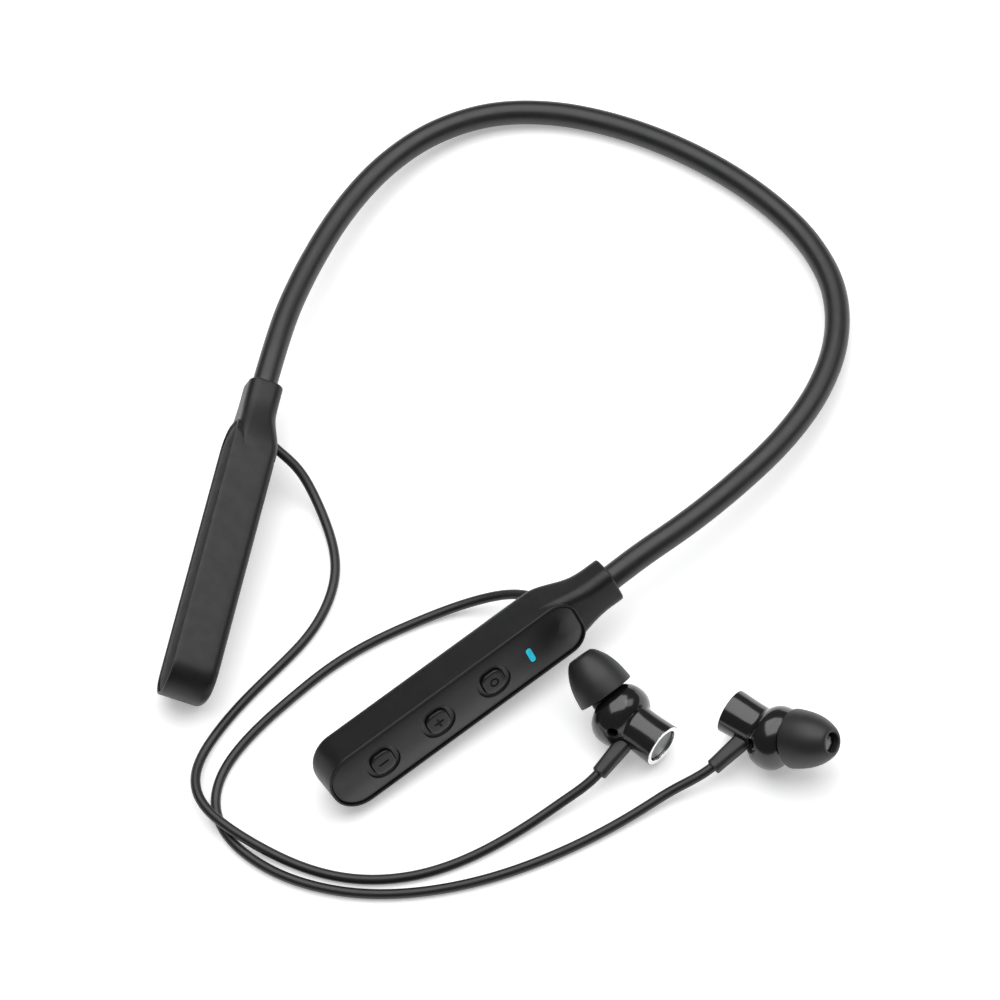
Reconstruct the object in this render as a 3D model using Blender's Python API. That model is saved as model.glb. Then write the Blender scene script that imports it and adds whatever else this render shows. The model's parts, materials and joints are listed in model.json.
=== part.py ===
"""Neckband earphones: a soft U-shaped neck tube, a control pod, a battery pod and two corded ear buds.

The model lies on the plane Z = 0. +X runs from the battery pod to the control pod, and +Y to the back of
the neck.
Every size is in metres, written as a number of millimetres times MM.
"""

import math

import bmesh
import bpy
import numpy as np
from mathutils import Matrix, Vector

MM = 0.001
GAP = 0.3 * MM

# Where the whole assembly lies: this shift puts the middle of the base at the origin.
BASE_SHIFT = Vector((-25.2, -14.8, 0.0)) * MM

# Neck tube
TUBE_RADIUS = 2.95 * MM
TUBE_BORE_RADIUS = 1.75 * MM
TUBE_HALF_ROUTE = (
    (48.5, -3.0, 13.8),
    (51.5, 4.8, 14.1),
    (54.4, 12.0, 13.6),
    (57.0, 19.2, 12.8),
    (60.7, 33.9, 11.0),
    (62.8, 49.0, 9.2),
    (62.4, 64.0, 7.6),
    (58.4, 78.4, 6.1),
    (49.8, 91.0, 4.6),
    (37.2, 99.6, 3.5),
    (22.7, 104.4, 3.0),
    (7.6, 106.5, 2.96),
)
TUBE_RINGS = 40
TUBE_SIDES = 12
WIRE_RADIUS = 0.4 * MM
WIRE_OFFSET = 0.9 * MM
NECK_CABLE_RADIUS = 0.55 * MM
NECK_CABLE_OFFSET = -0.8 * MM

# Pods: X runs from the neck end to the free end, Z is the cover's normal. 1 is the control pod at +X and
# -1 the battery pod. The bent neck lets each pod lie a little differently.
POD_NECKS = {1: Vector((49.7, -3.8, 13.8)) * MM, -1: Vector((-48.9, -3.1, 13.8)) * MM}
POD_TIPS = {1: Vector((21.0, -78.1, 8.3)) * MM, -1: Vector((-20.3, -77.9, 8.3)) * MM}
COVER_TILTS = {1: math.radians(23.0), -1: math.radians(27.0)}
POD_LENGTH = 80.0 * MM
POD_WIDTH = 14.8 * MM
POD_TOP = 4.8 * MM
POD_BOTTOM = -6.2 * MM
NECK_WIDTH = 10.0 * MM
NECK_HALF_THICK = 4.15 * MM
NECK_STRAIGHT = 4.0 * MM
NECK_BLEND_END = 18.0 * MM
POD_END_RADIUS = 7.0 * MM
POD_BACK_RADIUS = 3.0 * MM
POD_STATIONS = 8

TUBE_SOCKET_DEPTH = 9.5 * MM
ANCHOR_START = 11.6 * MM
ANCHOR_END = 15.2 * MM
ANCHOR_RADIUS = 2.3 * MM
CHAMBER_START = 11.0 * MM
CHAMBER_HALF_WIDTH = 3.4 * MM
CHAMBER_FLOOR = -3.3 * MM
PASSAGE_RADIUS = 1.9 * MM
CAVITY_START = 17.0 * MM
CAVITY_END = 77.4 * MM
CAVITY_HALF_WIDTH = 5.6 * MM
CAVITY_FLOOR = -4.3 * MM
LEDGE_HEIGHT = 3.1 * MM

COVER_START = 11.8 * MM
COVER_END = 79.0 * MM
COVER_HALF_WIDTH = 6.5 * MM
COVER_START_RADIUS = 4.8 * MM
COVER_END_RADIUS = 6.0 * MM
COVER_BOTTOM = 3.4 * MM
COVER_TOP = 5.2 * MM

BUTTON_STATIONS = {"button_multi": 35.6 * MM, "button_plus": 51.0 * MM, "button_minus": 66.3 * MM}
BUTTON_SIZE = 5.6 * MM
BUTTON_CORNER = 2.0 * MM
BUTTON_TOP = 5.3 * MM
BUTTON_FLANGE_SIZE = 8.0 * MM
BUTTON_FLANGE_TOP = 3.1 * MM
BUTTON_STEM_BOTTOM = 2.5 * MM
WELL_RADIUS = 4.1 * MM
WELL_DEPTH = 0.5 * MM

LED_STATION = 25.3 * MM
LED_LENGTH = 4.1 * MM
LED_WIDTH = 1.3 * MM

BOARD_START = 20.0 * MM
BOARD_END = 76.0 * MM
BOARD_HALF_WIDTH = 5.1 * MM
BOARD_BOTTOM = -0.6 * MM
BOARD_TOP = 0.4 * MM
SCREW_STATIONS = (43.3 * MM, 58.6 * MM)
SCREW_RADIUS = 0.6 * MM
SCREW_FOOT = -3.4 * MM
SCREW_HEAD_HEIGHT = 0.8 * MM
SCREW_HEAD_RADIUS = 1.3 * MM
BOSS_RADIUS = 1.8 * MM
PORT_STATION = 69.0 * MM
PORT_WIDTH = 8.9 * MM
PORT_HEIGHT = 3.1 * MM
PORT_MOUTH = 7.2 * MM
PORT_DEPTH = 7.2 * MM

# Cords
CORD_RADIUS = 1.15 * MM
CORD_EXIT_STATION = 13.4 * MM
CORD_EXIT_SLANT = math.radians(30.0)
GLAND_RADIUS = 1.7 * MM
GLAND_BORE = 0.8 * MM
GLAND_LENGTH = 1.5 * MM
CORD_POINTS = 38
CORD_END_GAP = 0.5 * MM
BATTERY_CORD_ROUTE = (
    (-33.6, -13.6, 7.3),
    (-28.9, -15.6, 4.9),
    (-23.6, -18.8, 2.7),
    (-18.6, -22.4, 1.5),
    (-14.3, -26.2, 1.2),
    (-10.6, -31.0, 1.2),
    (-8.0, -38.0, 1.2),
    (-7.0, -46.5, 1.2),
    (-8.0, -54.6, 1.2),
    (-9.5, -62.7, 1.2),
    (-10.7, -70.8, 1.2),
    (-11.1, -79.0, 1.3),
    (-10.4, -85.5, 2.0),
    (-8.0, -90.9, 3.4),
    (-3.6, -94.8, 4.1),
    (1.6, -96.2, 4.2),
    (6.8, -96.7, 3.9),
    (12.6, -96.5, 2.7),
    (21.1, -95.7, 1.4),
    (29.1, -94.2, 1.2),
    (36.7, -91.5, 1.2),
    (43.5, -87.5, 1.2),
    (49.5, -82.4, 1.2),
    (54.5, -76.4, 1.2),
    (58.7, -69.8, 1.3),
    (62.3, -62.8, 1.6),
    (65.5, -56.0, 2.3),
    (68.4, -49.5, 3.4),
)
CONTROL_CORD_ROUTE = (
    (31.7, -14.7, 7.1),
    (26.6, -17.2, 5.2),
    (21.5, -21.0, 3.2),
    (16.6, -26.0, 1.8),
    (12.4, -31.6, 1.25),
    (8.4, -37.7, 1.2),
    (4.6, -44.6, 1.2),
    (1.3, -52.6, 1.2),
    (-1.0, -61.0, 1.2),
    (-3.1, -69.4, 1.2),
    (-4.4, -77.9, 1.2),
    (-4.2, -86.3, 1.2),
    (-1.2, -93.2, 1.2),
    (5.0, -97.6, 1.2),
    (12.6, -99.3, 1.2),
    (21.5, -99.3, 1.2),
    (30.4, -97.4, 1.2),
    (38.8, -94.2, 1.2),
    (46.4, -89.9, 1.2),
    (53.5, -84.6, 1.2),
    (60.0, -78.6, 1.2),
    (66.0, -71.9, 1.2),
    (71.4, -64.6, 1.2),
    (76.2, -57.2, 1.3),
    (80.6, -49.4, 1.6),
    (84.4, -42.0, 2.3),
    (87.6, -35.4, 3.3),
)

# Ear buds: X runs along the barrel to its ring, Z is up, and the origin is the middle of the body
BUD_SEGMENTS = 24
# (position along the axis, radius) pairs of the turned pieces, in millimetres
FRONT_SHELL_PROFILE = (
    (-0.3, 6.4), (-0.3, 7.45), (-1.6, 7.3), (-2.8, 6.75), (-3.7, 5.9), (-4.2, 4.9), (-4.3, 1.0),
    (-3.2, 1.0), (-3.2, 5.2), (-2.4, 6.1),
)
REAR_SHELL_PROFILE = (
    (0.0, 6.4), (0.0, 7.5), (1.4, 7.35), (2.7, 6.85), (3.6, 6.1), (4.1, 5.4), (5.0, 5.0), (7.5, 4.95),
    (11.2, 5.2), (11.2, 4.15), (3.4, 4.15), (3.0, 5.2), (2.0, 6.2),
)
BOOT_CLEARANCE_PROFILE = (
    (-4.0, 0.5), (-4.0, 7.9), (1.5, 7.8), (2.9, 7.2), (3.9, 6.4), (4.4, 5.8), (5.1, 5.35),
    (7.5, 5.3), (14.0, 5.7), (14.0, 0.5),
)
EAR_TIP_PROFILE = (
    (15.8, 2.2), (15.8, 2.9), (15.5, 3.4), (14.3, 4.4), (12.4, 5.35), (10.2, 6.05), (7.9, 6.5), (5.6, 6.7),
    (5.6, 6.15), (7.9, 5.9), (10.2, 5.4), (12.0, 4.6), (13.0, 3.5), (6.4, 3.4), (6.4, 2.5), (14.0, 2.5),
    (14.3, 2.2),
)
END_RING_PROFILE = ((11.5, 4.0), (11.5, 5.2), (12.0, 5.2), (12.3, 4.9), (12.3, 4.2), (12.1, 4.0))
COLLAR_START = 3.0 * MM
COLLAR_END = 6.0 * MM
COLLAR_RADIUS = 4.3 * MM
COLLAR_END_RADIUS = 4.1 * MM
DRIVER_START = -1.9 * MM
DRIVER_END = 1.7 * MM
DRIVER_RADIUS = 5.0 * MM
MAGNET_START = 8.4 * MM
MAGNET_END = 10.3 * MM
MAGNET_RADIUS = 3.6 * MM
DISC_START = 10.6 * MM
DISC_END = 11.2 * MM
DISC_RADIUS = 3.85 * MM
NOZZLE_LIFT = 0.8 * MM
NOZZLE_UP = math.radians(28.8)
NOZZLE_SIDE = math.radians(12.7)
NOZZLE_RADIUS = 2.2 * MM
NOZZLE_BORE = 1.5 * MM
NOZZLE_END = 13.5 * MM
SCREEN_RADIUS = 1.9 * MM
SCREEN_THICKNESS = 0.2 * MM
BOOT_STATION = 4.9 * MM
BOOT_START = 4.0 * MM
BOOT_END = 13.6 * MM
BOOT_RADIUS = 2.15 * MM
BOOT_END_RADIUS = 1.65 * MM
LEAD_HOLE_RADIUS = 1.2 * MM
BOOT_DROP = math.radians(10.0)
BUDS = {
    "left": {"place": (68.4, -29.0, 7.5), "heading": -7.0, "side": 1, "boot_swing": -1.7},
    "right": {"place": (101.3, -15.9, 7.5), "heading": 177.7, "side": -1, "boot_swing": 15.4},
}
BARREL_DROP = math.radians(0.0)


# ---------------------------------------------------------------- materials


def material(name, colour, roughness, metallic=0.0):
    """A Principled material of one colour."""
    made = bpy.data.materials.new(name)
    made.use_nodes = True
    shader = made.node_tree.nodes["Principled BSDF"]
    shader.inputs["Base Color"].default_value = (*colour, 1.0)
    shader.inputs["Roughness"].default_value = roughness
    shader.inputs["Metallic"].default_value = metallic
    return made


def make_materials():
    return {
        "soft_black": material("soft_black", (0.025, 0.025, 0.026), 0.55),
        "cover_black": material("cover_black", (0.035, 0.035, 0.036), 0.6),
        "silicone": material("silicone", (0.018, 0.018, 0.018), 0.45),
        "tip_silicone": material("tip_silicone", (0.022, 0.022, 0.022), 0.6),
        "gloss_black": material("gloss_black", (0.02, 0.02, 0.022), 0.1),
        "chrome": material("chrome", (0.9, 0.9, 0.9), 0.08, 1.0),
        "satin_grey": material("satin_grey", (0.2, 0.2, 0.2), 0.4, 0.6),
        "cyan": material("cyan", (0.01, 0.5, 0.65), 0.3),
        "board_green": material("board_green", (0.02, 0.15, 0.06), 0.5),
        "steel": material("steel", (0.6, 0.6, 0.62), 0.3, 1.0),
        "foil": material("foil", (0.55, 0.56, 0.58), 0.35, 0.8),
    }


# ---------------------------------------------------------------- building blocks


def mesh_object(name, points, faces, finish=None, parent=None, place=None):
    """A mesh object, placed by a matrix under its parent."""
    mesh = bpy.data.meshes.new(name)
    mesh.from_pydata([tuple(p) for p in points], [], faces)
    shape = bmesh.new()
    shape.from_mesh(mesh)
    bmesh.ops.recalc_face_normals(shape, faces=shape.faces)
    shape.to_mesh(mesh)
    shape.free()
    mesh.shade_smooth()
    mesh.set_sharp_from_angle(angle=math.radians(35.0))
    made = bpy.data.objects.new(name, mesh)
    bpy.context.scene.collection.objects.link(made)
    made.parent = parent
    if place is not None:
        made.matrix_local = place
    if finish:
        mesh.materials.append(finish)
    return made


def loft(name, rings, finish=None, parent=None, place=None):
    """A closed body through rings of equal point counts, with flat ends."""
    count = len(rings[0])
    points = [p for ring in rings for p in ring]
    faces = []
    for i in range(len(rings) - 1):
        for j in range(count):
            k = (j + 1) % count
            faces.append((i * count + j, i * count + k, (i + 1) * count + k, (i + 1) * count + j))
    last = (len(rings) - 1) * count
    faces.append(tuple(range(count)))
    faces.append(tuple(last + j for j in range(count)))
    return mesh_object(name, points, faces, finish, parent, place)


def turned(name, profile, finish=None, parent=None, place=None, segments=BUD_SEGMENTS):
    """A closed body of revolution about X. The profile is a closed loop of (x, radius), clear of the axis."""
    points = []
    for i in range(segments):
        angle = 2 * math.pi * i / segments
        points += [(x, r * math.cos(angle), r * math.sin(angle)) for x, r in profile]
    count = len(profile)
    faces = []
    for i in range(segments):
        after = (i + 1) % segments
        for j in range(count):
            k = (j + 1) % count
            faces.append((i * count + j, i * count + k, after * count + k, after * count + j))
    return mesh_object(name, points, faces, finish, parent, place)


def rod(name, start, end, radius, finish=None, parent=None, place=None, segments=20, end_radius=None):
    """A round rod or cone along X."""
    end_radius = radius if end_radius is None else end_radius
    rings = []
    for x, r in ((start, radius), (end, end_radius)):
        turns = [2 * math.pi * i / segments for i in range(segments)]
        rings.append([(x, r * math.cos(t), r * math.sin(t)) for t in turns])
    return loft(name, rings, finish, parent, place)


def rounded_outline(x0, x1, half_width, start_radius, end_radius, steps=4):
    """Corner points of a flat shape with round corners, each end with its own radius."""
    corners = (
        (x1 - end_radius, half_width - end_radius, end_radius, 0.0),
        (x0 + start_radius, half_width - start_radius, start_radius, 0.5 * math.pi),
        (x0 + start_radius, -half_width + start_radius, start_radius, math.pi),
        (x1 - end_radius, -half_width + end_radius, end_radius, 1.5 * math.pi),
    )
    outline = []
    for cx, cy, radius, start in corners:
        for i in range(steps + 1):
            angle = start + 0.5 * math.pi * i / steps
            outline.append((cx + radius * math.cos(angle), cy + radius * math.sin(angle)))
    return outline


def plate(name, outline, bottom, top, finish=None, parent=None, place=None):
    """A flat plate with the given outline in X and Y."""
    rings = [[(x, y, z) for x, y in outline] for z in (bottom, top)]
    return loft(name, rings, finish, parent, place)


def block(name, low, high, finish=None, parent=None, place=None, corner=0.2 * MM):
    """A box between two corners, with its upright edges rounded a little."""
    half = 0.5 * (high[1] - low[1])
    middle = 0.5 * (high[1] + low[1])
    outline = [(x, y + middle) for x, y in rounded_outline(low[0], high[0], half, corner, corner, steps=2)]
    return plate(name, outline, low[2], high[2], finish, parent, place)


def boolean(target, tool, operation="DIFFERENCE"):
    """Cuts the tool from the target or joins it on, and keeps the tool out of the model."""
    tool.hide_render = True
    tool.display_type = "WIRE"
    change = target.modifiers.new(tool.name, "BOOLEAN")
    change.object = tool
    change.operation = operation
    change.solver = "EXACT"


def smooth_curve(points, count):
    """Points at even spacing on a smooth curve through the given ones."""
    knots = np.array(points, dtype=float)
    steps = np.linalg.norm(np.diff(knots, axis=0), axis=1) ** 0.5
    at = np.concatenate([[0.0], np.cumsum(steps)])
    slopes = np.gradient(knots, at, axis=0, edge_order=2)
    fine = []
    for i in range(len(knots) - 1):
        width = at[i + 1] - at[i]
        for t in np.linspace(0.0, 1.0, 24, endpoint=False):
            h00 = 2 * t**3 - 3 * t**2 + 1
            h10 = t**3 - 2 * t**2 + t
            h01 = -2 * t**3 + 3 * t**2
            h11 = t**3 - t**2
            fine.append(
                h00 * knots[i] + h10 * width * slopes[i] + h01 * knots[i + 1] + h11 * width * slopes[i + 1]
            )
    fine.append(knots[-1])
    fine = np.array(fine)
    along = np.concatenate([[0.0], np.cumsum(np.linalg.norm(np.diff(fine, axis=0), axis=1))])
    wanted = np.linspace(0.0, along[-1], count)
    return np.stack([np.interp(wanted, along, fine[:, i]) for i in range(3)], axis=1)


def ring_frames(path):
    """For each point of a path: the point, and two unit vectors across it, the second one mostly up."""
    frames = []
    for i, point in enumerate(path):
        ahead = Vector(path[min(i + 1, len(path) - 1)]) - Vector(path[max(i - 1, 0)])
        ahead.normalize()
        across = ahead.cross(Vector((0.0, 0.0, 1.0))).normalized()
        frames.append((Vector(point), across, across.cross(ahead)))
    return frames


def swept_rings(frames, radius, sides, sideways=0.0):
    """Rings of a round section along a path, shifted across it."""
    rings = []
    for point, across, up in frames:
        centre = point + across * sideways
        turns = [2 * math.pi * i / sides for i in range(sides)]
        rings.append([centre + across * radius * math.cos(t) + up * radius * math.sin(t) for t in turns])
    return rings


def empty(name, matrix):
    made = bpy.data.objects.new(name, None)
    bpy.context.scene.collection.objects.link(made)
    made.matrix_world = matrix
    return made


def axes_matrix(origin, x_axis, z_axis):
    """The frame with this origin and X axis, and with Z as near as it goes to z_axis."""
    x_axis = x_axis.normalized()
    y_axis = z_axis.cross(x_axis).normalized()
    z_axis = x_axis.cross(y_axis)
    matrix = Matrix((x_axis, y_axis, z_axis)).transposed().to_4x4()
    matrix.translation = origin
    return matrix


# ---------------------------------------------------------------- pods


def mirrored(point, side):
    return Vector((side * point[0], point[1], point[2]))


def pod_frame(side):
    """The pod's frame: X to its free end, Z out of its cover. The side is 1 for +X and -1 for -X."""
    neck = POD_NECKS[side]
    along = (POD_TIPS[side] - neck).normalized()
    outward = Vector((side * 1.0, 0.0, 0.0))
    outward = (outward - along * outward.dot(along)).normalized()
    outward.z = 0.0
    outward.normalize()
    upright = Vector((0.0, 0.0, 1.0))
    upright = (upright - along * upright.dot(along)).normalized()
    normal = outward * math.cos(COVER_TILTS[side]) + upright * math.sin(COVER_TILTS[side])
    return axes_matrix(neck + BASE_SHIFT, along, normal)


def ease(value, start, end):
    """0 before start, 1 after end and a smooth step between."""
    t = min(max((value - start) / (end - start), 0.0), 1.0)
    return t * t * (3 - 2 * t)


def pod_section(x):
    """Half width, top, bottom and the two corner radii of the pod's outer section at x."""
    grown = ease(x, NECK_STRAIGHT, NECK_BLEND_END)
    half_width = 0.5 * (NECK_WIDTH + (POD_WIDTH - NECK_WIDTH) * grown)
    top = NECK_HALF_THICK + (POD_TOP - NECK_HALF_THICK) * grown
    bottom = -NECK_HALF_THICK + (POD_BOTTOM + NECK_HALF_THICK) * ease(x, 0.4 * NECK_BLEND_END, NECK_BLEND_END)
    round_start = POD_LENGTH - POD_END_RADIUS
    if x > round_start:
        half_width -= POD_END_RADIUS - math.sqrt(max(POD_END_RADIUS**2 - (x - round_start) ** 2, 0.0))
    back_start = POD_LENGTH - POD_BACK_RADIUS
    if x > back_start:
        bottom += POD_BACK_RADIUS - math.sqrt(max(POD_BACK_RADIUS**2 - (x - back_start) ** 2, 0.0))
    limit = 0.98 * min(half_width, 0.5 * (top - bottom))
    top_corner = min(4.0 * MM * (1 - grown) + 0.5 * MM * grown, limit)
    bottom_corner = min(4.0 * MM * (1 - grown) + 2.2 * MM * grown, limit)
    return half_width, top, bottom, top_corner, bottom_corner


def pod_ring(x, steps=3):
    half_width, top, bottom, top_corner, bottom_corner = pod_section(x)
    corners = (
        (half_width - top_corner, top - top_corner, top_corner, 0.0),
        (-half_width + top_corner, top - top_corner, top_corner, 0.5 * math.pi),
        (-half_width + bottom_corner, bottom + bottom_corner, bottom_corner, math.pi),
        (half_width - bottom_corner, bottom + bottom_corner, bottom_corner, 1.5 * math.pi),
    )
    ring = []
    for cy, cz, radius, start in corners:
        for i in range(steps + 1):
            angle = start + 0.5 * math.pi * i / steps
            ring.append((x, cy + radius * math.cos(angle), cz + radius * math.sin(angle)))
    return ring


def pod_stations():
    """Where the pod's sections lie: close together at the neck and round the free end."""
    blend = [NECK_BLEND_END * i / POD_STATIONS for i in range(POD_STATIONS + 1)]
    turns = [0.1 * math.pi * i for i in range(5)] + [0.47 * math.pi]
    return blend + [POD_LENGTH - POD_END_RADIUS * (1 - math.sin(turn)) for turn in turns]


def exit_matrix():
    """The cord's way out in the pod's frame: X points out of the back wall, slanted to the free end."""
    outward = Vector((math.sin(CORD_EXIT_SLANT), 0.0, -math.cos(CORD_EXIT_SLANT)))
    origin = Vector((CORD_EXIT_STATION, 0.0, pod_section(CORD_EXIT_STATION)[2]))
    return axes_matrix(origin, outward, Vector((1.0, 0.0, 0.0)))


def make_pod_shell(name, frame, finish):
    """The hollow tray: cover seat, main cavity, front chamber, tube socket and the cord's way out."""
    shell = loft(name, [pod_ring(x) for x in pod_stations()], finish, frame)
    seat = rounded_outline(
        COVER_START - GAP, COVER_END + GAP, COVER_HALF_WIDTH + GAP, COVER_START_RADIUS + GAP,
        COVER_END_RADIUS + GAP,
    )
    boolean(shell, plate(name + "_seat_cut", seat, LEDGE_HEIGHT, 2 * POD_TOP, parent=frame))
    cavity = rounded_outline(CAVITY_START, CAVITY_END, CAVITY_HALF_WIDTH, 2.5 * MM, 4.2 * MM)
    boolean(shell, plate(name + "_cavity_cut", cavity, CAVITY_FLOOR, POD_TOP, parent=frame))
    chamber = rounded_outline(
        CHAMBER_START, CAVITY_START + 2.0 * MM, CHAMBER_HALF_WIDTH, 1.0 * MM, 0.5 * MM, steps=2
    )
    boolean(shell, plate(name + "_chamber_cut", chamber, CHAMBER_FLOOR, POD_TOP, parent=frame))
    socket_radius = TUBE_RADIUS + GAP
    boolean(shell, rod(name + "_socket_cut", -2.0 * MM, TUBE_SOCKET_DEPTH, socket_radius, parent=frame))
    passage = rod(
        name + "_passage_cut", TUBE_SOCKET_DEPTH - MM, CHAMBER_START + MM, PASSAGE_RADIUS, parent=frame
    )
    boolean(shell, passage)
    way_out = rod(
        name + "_exit_cut", -4.0 * MM, 3.0 * MM, GLAND_RADIUS + GAP, parent=frame, place=exit_matrix()
    )
    boolean(shell, way_out)
    return shell


def make_gland(name, frame, finish):
    """The grommet in the cord's way out, flush with the pod's back wall."""
    profile = (
        (-GLAND_LENGTH, GLAND_BORE), (-GLAND_LENGTH, GLAND_RADIUS), (0.0, GLAND_RADIUS), (0.0, GLAND_BORE),
    )
    return turned(name, profile, finish, frame, exit_matrix(), segments=16)


def make_tube_anchor(name, frame, side, finish):
    """The crimp block that holds the wire and the cable in the pod's front chamber."""
    anchor = rod(name, ANCHOR_START, ANCHOR_END, ANCHOR_RADIUS, finish, frame, segments=20)
    for label, offset, radius in (
        ("wire", WIRE_OFFSET, WIRE_RADIUS),
        ("cable", NECK_CABLE_OFFSET, NECK_CABLE_RADIUS),
    ):
        across = pod_across(side) * offset
        hole = rod(
            f"{name}_{label}_cut", ANCHOR_START - MM, ANCHOR_END + MM, radius + GAP, parent=frame,
            place=Matrix.Translation(across), segments=12,
        )
        boolean(anchor, hole)
    return anchor


def pod_across(side):
    """The horizontal direction across the pod, towards the outside of the path, in the pod's own frame."""
    frame = pod_frame(side)
    along = frame.to_3x3().col[0]
    heading = along if side > 0 else -along
    across = heading.cross(Vector((0.0, 0.0, 1.0))).normalized()
    return frame.to_3x3().transposed() @ across


def make_plain_cover(name, frame, finish):
    outline = rounded_outline(
        COVER_START, COVER_END, COVER_HALF_WIDTH, COVER_START_RADIUS, COVER_END_RADIUS
    )
    return plate(name, outline, COVER_BOTTOM, COVER_TOP, finish, frame)


def make_control_cover(frame, finish):
    """The button face, with a round well and a hole for each key and a slot for the light."""
    cover = make_plain_cover("control_pod_cover", frame, finish)
    half = 0.5 * BUTTON_SIZE + GAP
    for name, station in BUTTON_STATIONS.items():
        hole = rounded_outline(
            station - half, station + half, half, BUTTON_CORNER + GAP, BUTTON_CORNER + GAP, steps=3
        )
        boolean(cover, plate(name + "_hole_cut", hole, 3.0 * MM, 6.0 * MM, parent=frame))
        well = rounded_outline(
            station - WELL_RADIUS, station + WELL_RADIUS, WELL_RADIUS, 0.99 * WELL_RADIUS, 0.99 * WELL_RADIUS
        )
        boolean(cover, plate(name + "_well_cut", well, COVER_TOP - WELL_DEPTH, 6.5 * MM, parent=frame))
    slot = rounded_outline(
        LED_STATION - 0.5 * LED_WIDTH - GAP, LED_STATION + 0.5 * LED_WIDTH + GAP,
        0.5 * LED_LENGTH + GAP, 0.6 * MM, 0.6 * MM, steps=3,
    )
    boolean(cover, plate("led_slot_cut", slot, 3.0 * MM, 6.0 * MM, parent=frame))
    return cover


def make_button(name, station, frame, finish):
    """A key with a slightly crowned cap, a flange under the cover and a stem. Its origin is on its axis."""
    place = Matrix.Translation((station, 0.0, 0.0))
    half = 0.5 * BUTTON_SIZE
    flange_half = 0.5 * BUTTON_FLANGE_SIZE
    levels = (
        (BUTTON_STEM_BOTTOM, flange_half, BUTTON_CORNER),
        (BUTTON_FLANGE_TOP, flange_half, BUTTON_CORNER),
        (BUTTON_FLANGE_TOP, half, BUTTON_CORNER),
        (BUTTON_TOP - 0.4 * MM, half, BUTTON_CORNER),
        (BUTTON_TOP - 0.1 * MM, half - 0.35 * MM, BUTTON_CORNER - 0.35 * MM),
        (BUTTON_TOP, half - 1.2 * MM, BUTTON_CORNER - 1.0 * MM),
    )
    rings = []
    for height, size, corner in levels:
        outline = rounded_outline(-size, size, size, corner, corner, steps=3)
        rings.append([(x, y, height) for x, y in outline])
    return loft(name, rings, finish, frame, place)


def make_control_insides(frame, finishes):
    """The board and what it carries."""
    outline = rounded_outline(BOARD_START, BOARD_END, BOARD_HALF_WIDTH, 0.6 * MM, 3.6 * MM, steps=3)
    board = plate("control_board", outline, BOARD_BOTTOM, BOARD_TOP, finishes["board_green"], frame)
    for name, station in BUTTON_STATIONS.items():
        low = (station - 2.2 * MM, -2.2 * MM, BOARD_TOP + GAP)
        high = (station + 2.2 * MM, 2.2 * MM, 2.0 * MM)
        block(name.replace("button", "tact_switch"), low, high, finishes["steel"], frame)
    pipe = rounded_outline(
        LED_STATION - 0.5 * LED_WIDTH, LED_STATION + 0.5 * LED_WIDTH, 0.5 * LED_LENGTH, 0.5 * MM, 0.5 * MM,
        steps=3,
    )
    plate("light_pipe", pipe, BOARD_TOP + GAP, COVER_TOP - 0.1 * MM, finishes["cyan"], frame)
    module_top = BOARD_BOTTOM - GAP
    block(
        "radio_module", (26.0 * MM, -4.0 * MM, module_top - 1.6 * MM), (37.0 * MM, 4.0 * MM, module_top),
        finishes["steel"], frame,
    )
    block(
        "microphone", (20.8 * MM, -1.5 * MM, module_top - 1.1 * MM), (24.5 * MM, 1.5 * MM, module_top),
        finishes["steel"], frame,
    )
    for i, station in enumerate(SCREW_STATIONS, start=1):
        make_board_screw(i, board, upright_place(station), frame, finishes["steel"])


def upright_place(station):
    """A frame on the pod's axis at this station, with X pointing out of the cover."""
    return Matrix.Translation((station, 0.0, 0.0)) @ Matrix.Rotation(-0.5 * math.pi, 4, "Y")


def make_board_screw(i, board, place, frame, finish):
    """A flat-headed screw down through a hole in the board."""
    under_head = BOARD_TOP + GAP
    levels = (
        (SCREW_FOOT, SCREW_RADIUS),
        (under_head, SCREW_RADIUS),
        (under_head, SCREW_HEAD_RADIUS),
        (under_head + SCREW_HEAD_HEIGHT, SCREW_HEAD_RADIUS),
    )
    turns = [2 * math.pi * k / 12 for k in range(12)]
    rings = [[(x, r * math.cos(t), r * math.sin(t)) for t in turns] for x, r in levels]
    loft(f"board_screw_{i}", rings, finish, frame, place)
    hole = rod(
        f"board_hole_{i}_cut", -2.0 * MM, 2.0 * MM, SCREW_RADIUS + GAP, parent=frame, place=place, segments=12
    )
    boolean(board, hole)


def add_boss(shell, i, station, frame):
    """A hollow boss on the shell's floor that takes a board screw."""
    place = upright_place(station)
    top = BOARD_BOTTOM - GAP
    boss = rod(
        f"boss_{i}_join", CAVITY_FLOOR - 0.4 * MM, top, BOSS_RADIUS, parent=frame, place=place, segments=16
    )
    boolean(shell, boss, "UNION")
    pilot = rod(
        f"boss_{i}_cut", CAVITY_FLOOR + 0.6 * MM, top + MM, SCREW_RADIUS + GAP, parent=frame, place=place,
        segments=12,
    )
    boolean(shell, pilot)


def port_matrix():
    """The charging port's frame in the pod's: X points out of its mouth, Y along the pod."""
    origin = Vector((PORT_STATION, PORT_MOUTH, BOARD_BOTTOM - GAP - 0.5 * PORT_HEIGHT))
    return axes_matrix(origin, Vector((0.0, 1.0, 0.0)), Vector((0.0, 0.0, 1.0)))


def port_shape(name, start, end, width, height, frame, finish=None, steps=4):
    """A flat-round bar along the port's X."""
    half = 0.5 * height
    outline = []
    for turn in range(2 * steps + 2):
        angle = math.pi * (turn if turn <= steps else turn - 1) / steps - 0.5 * math.pi
        centre = 0.5 * (width - height) * (1 if turn <= steps else -1)
        outline.append((centre + half * math.cos(angle), half * math.sin(angle)))
    rings = [[(x, y, z) for y, z in outline] for x in (start, end)]
    return loft(name, rings, finish, frame, port_matrix())


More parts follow.
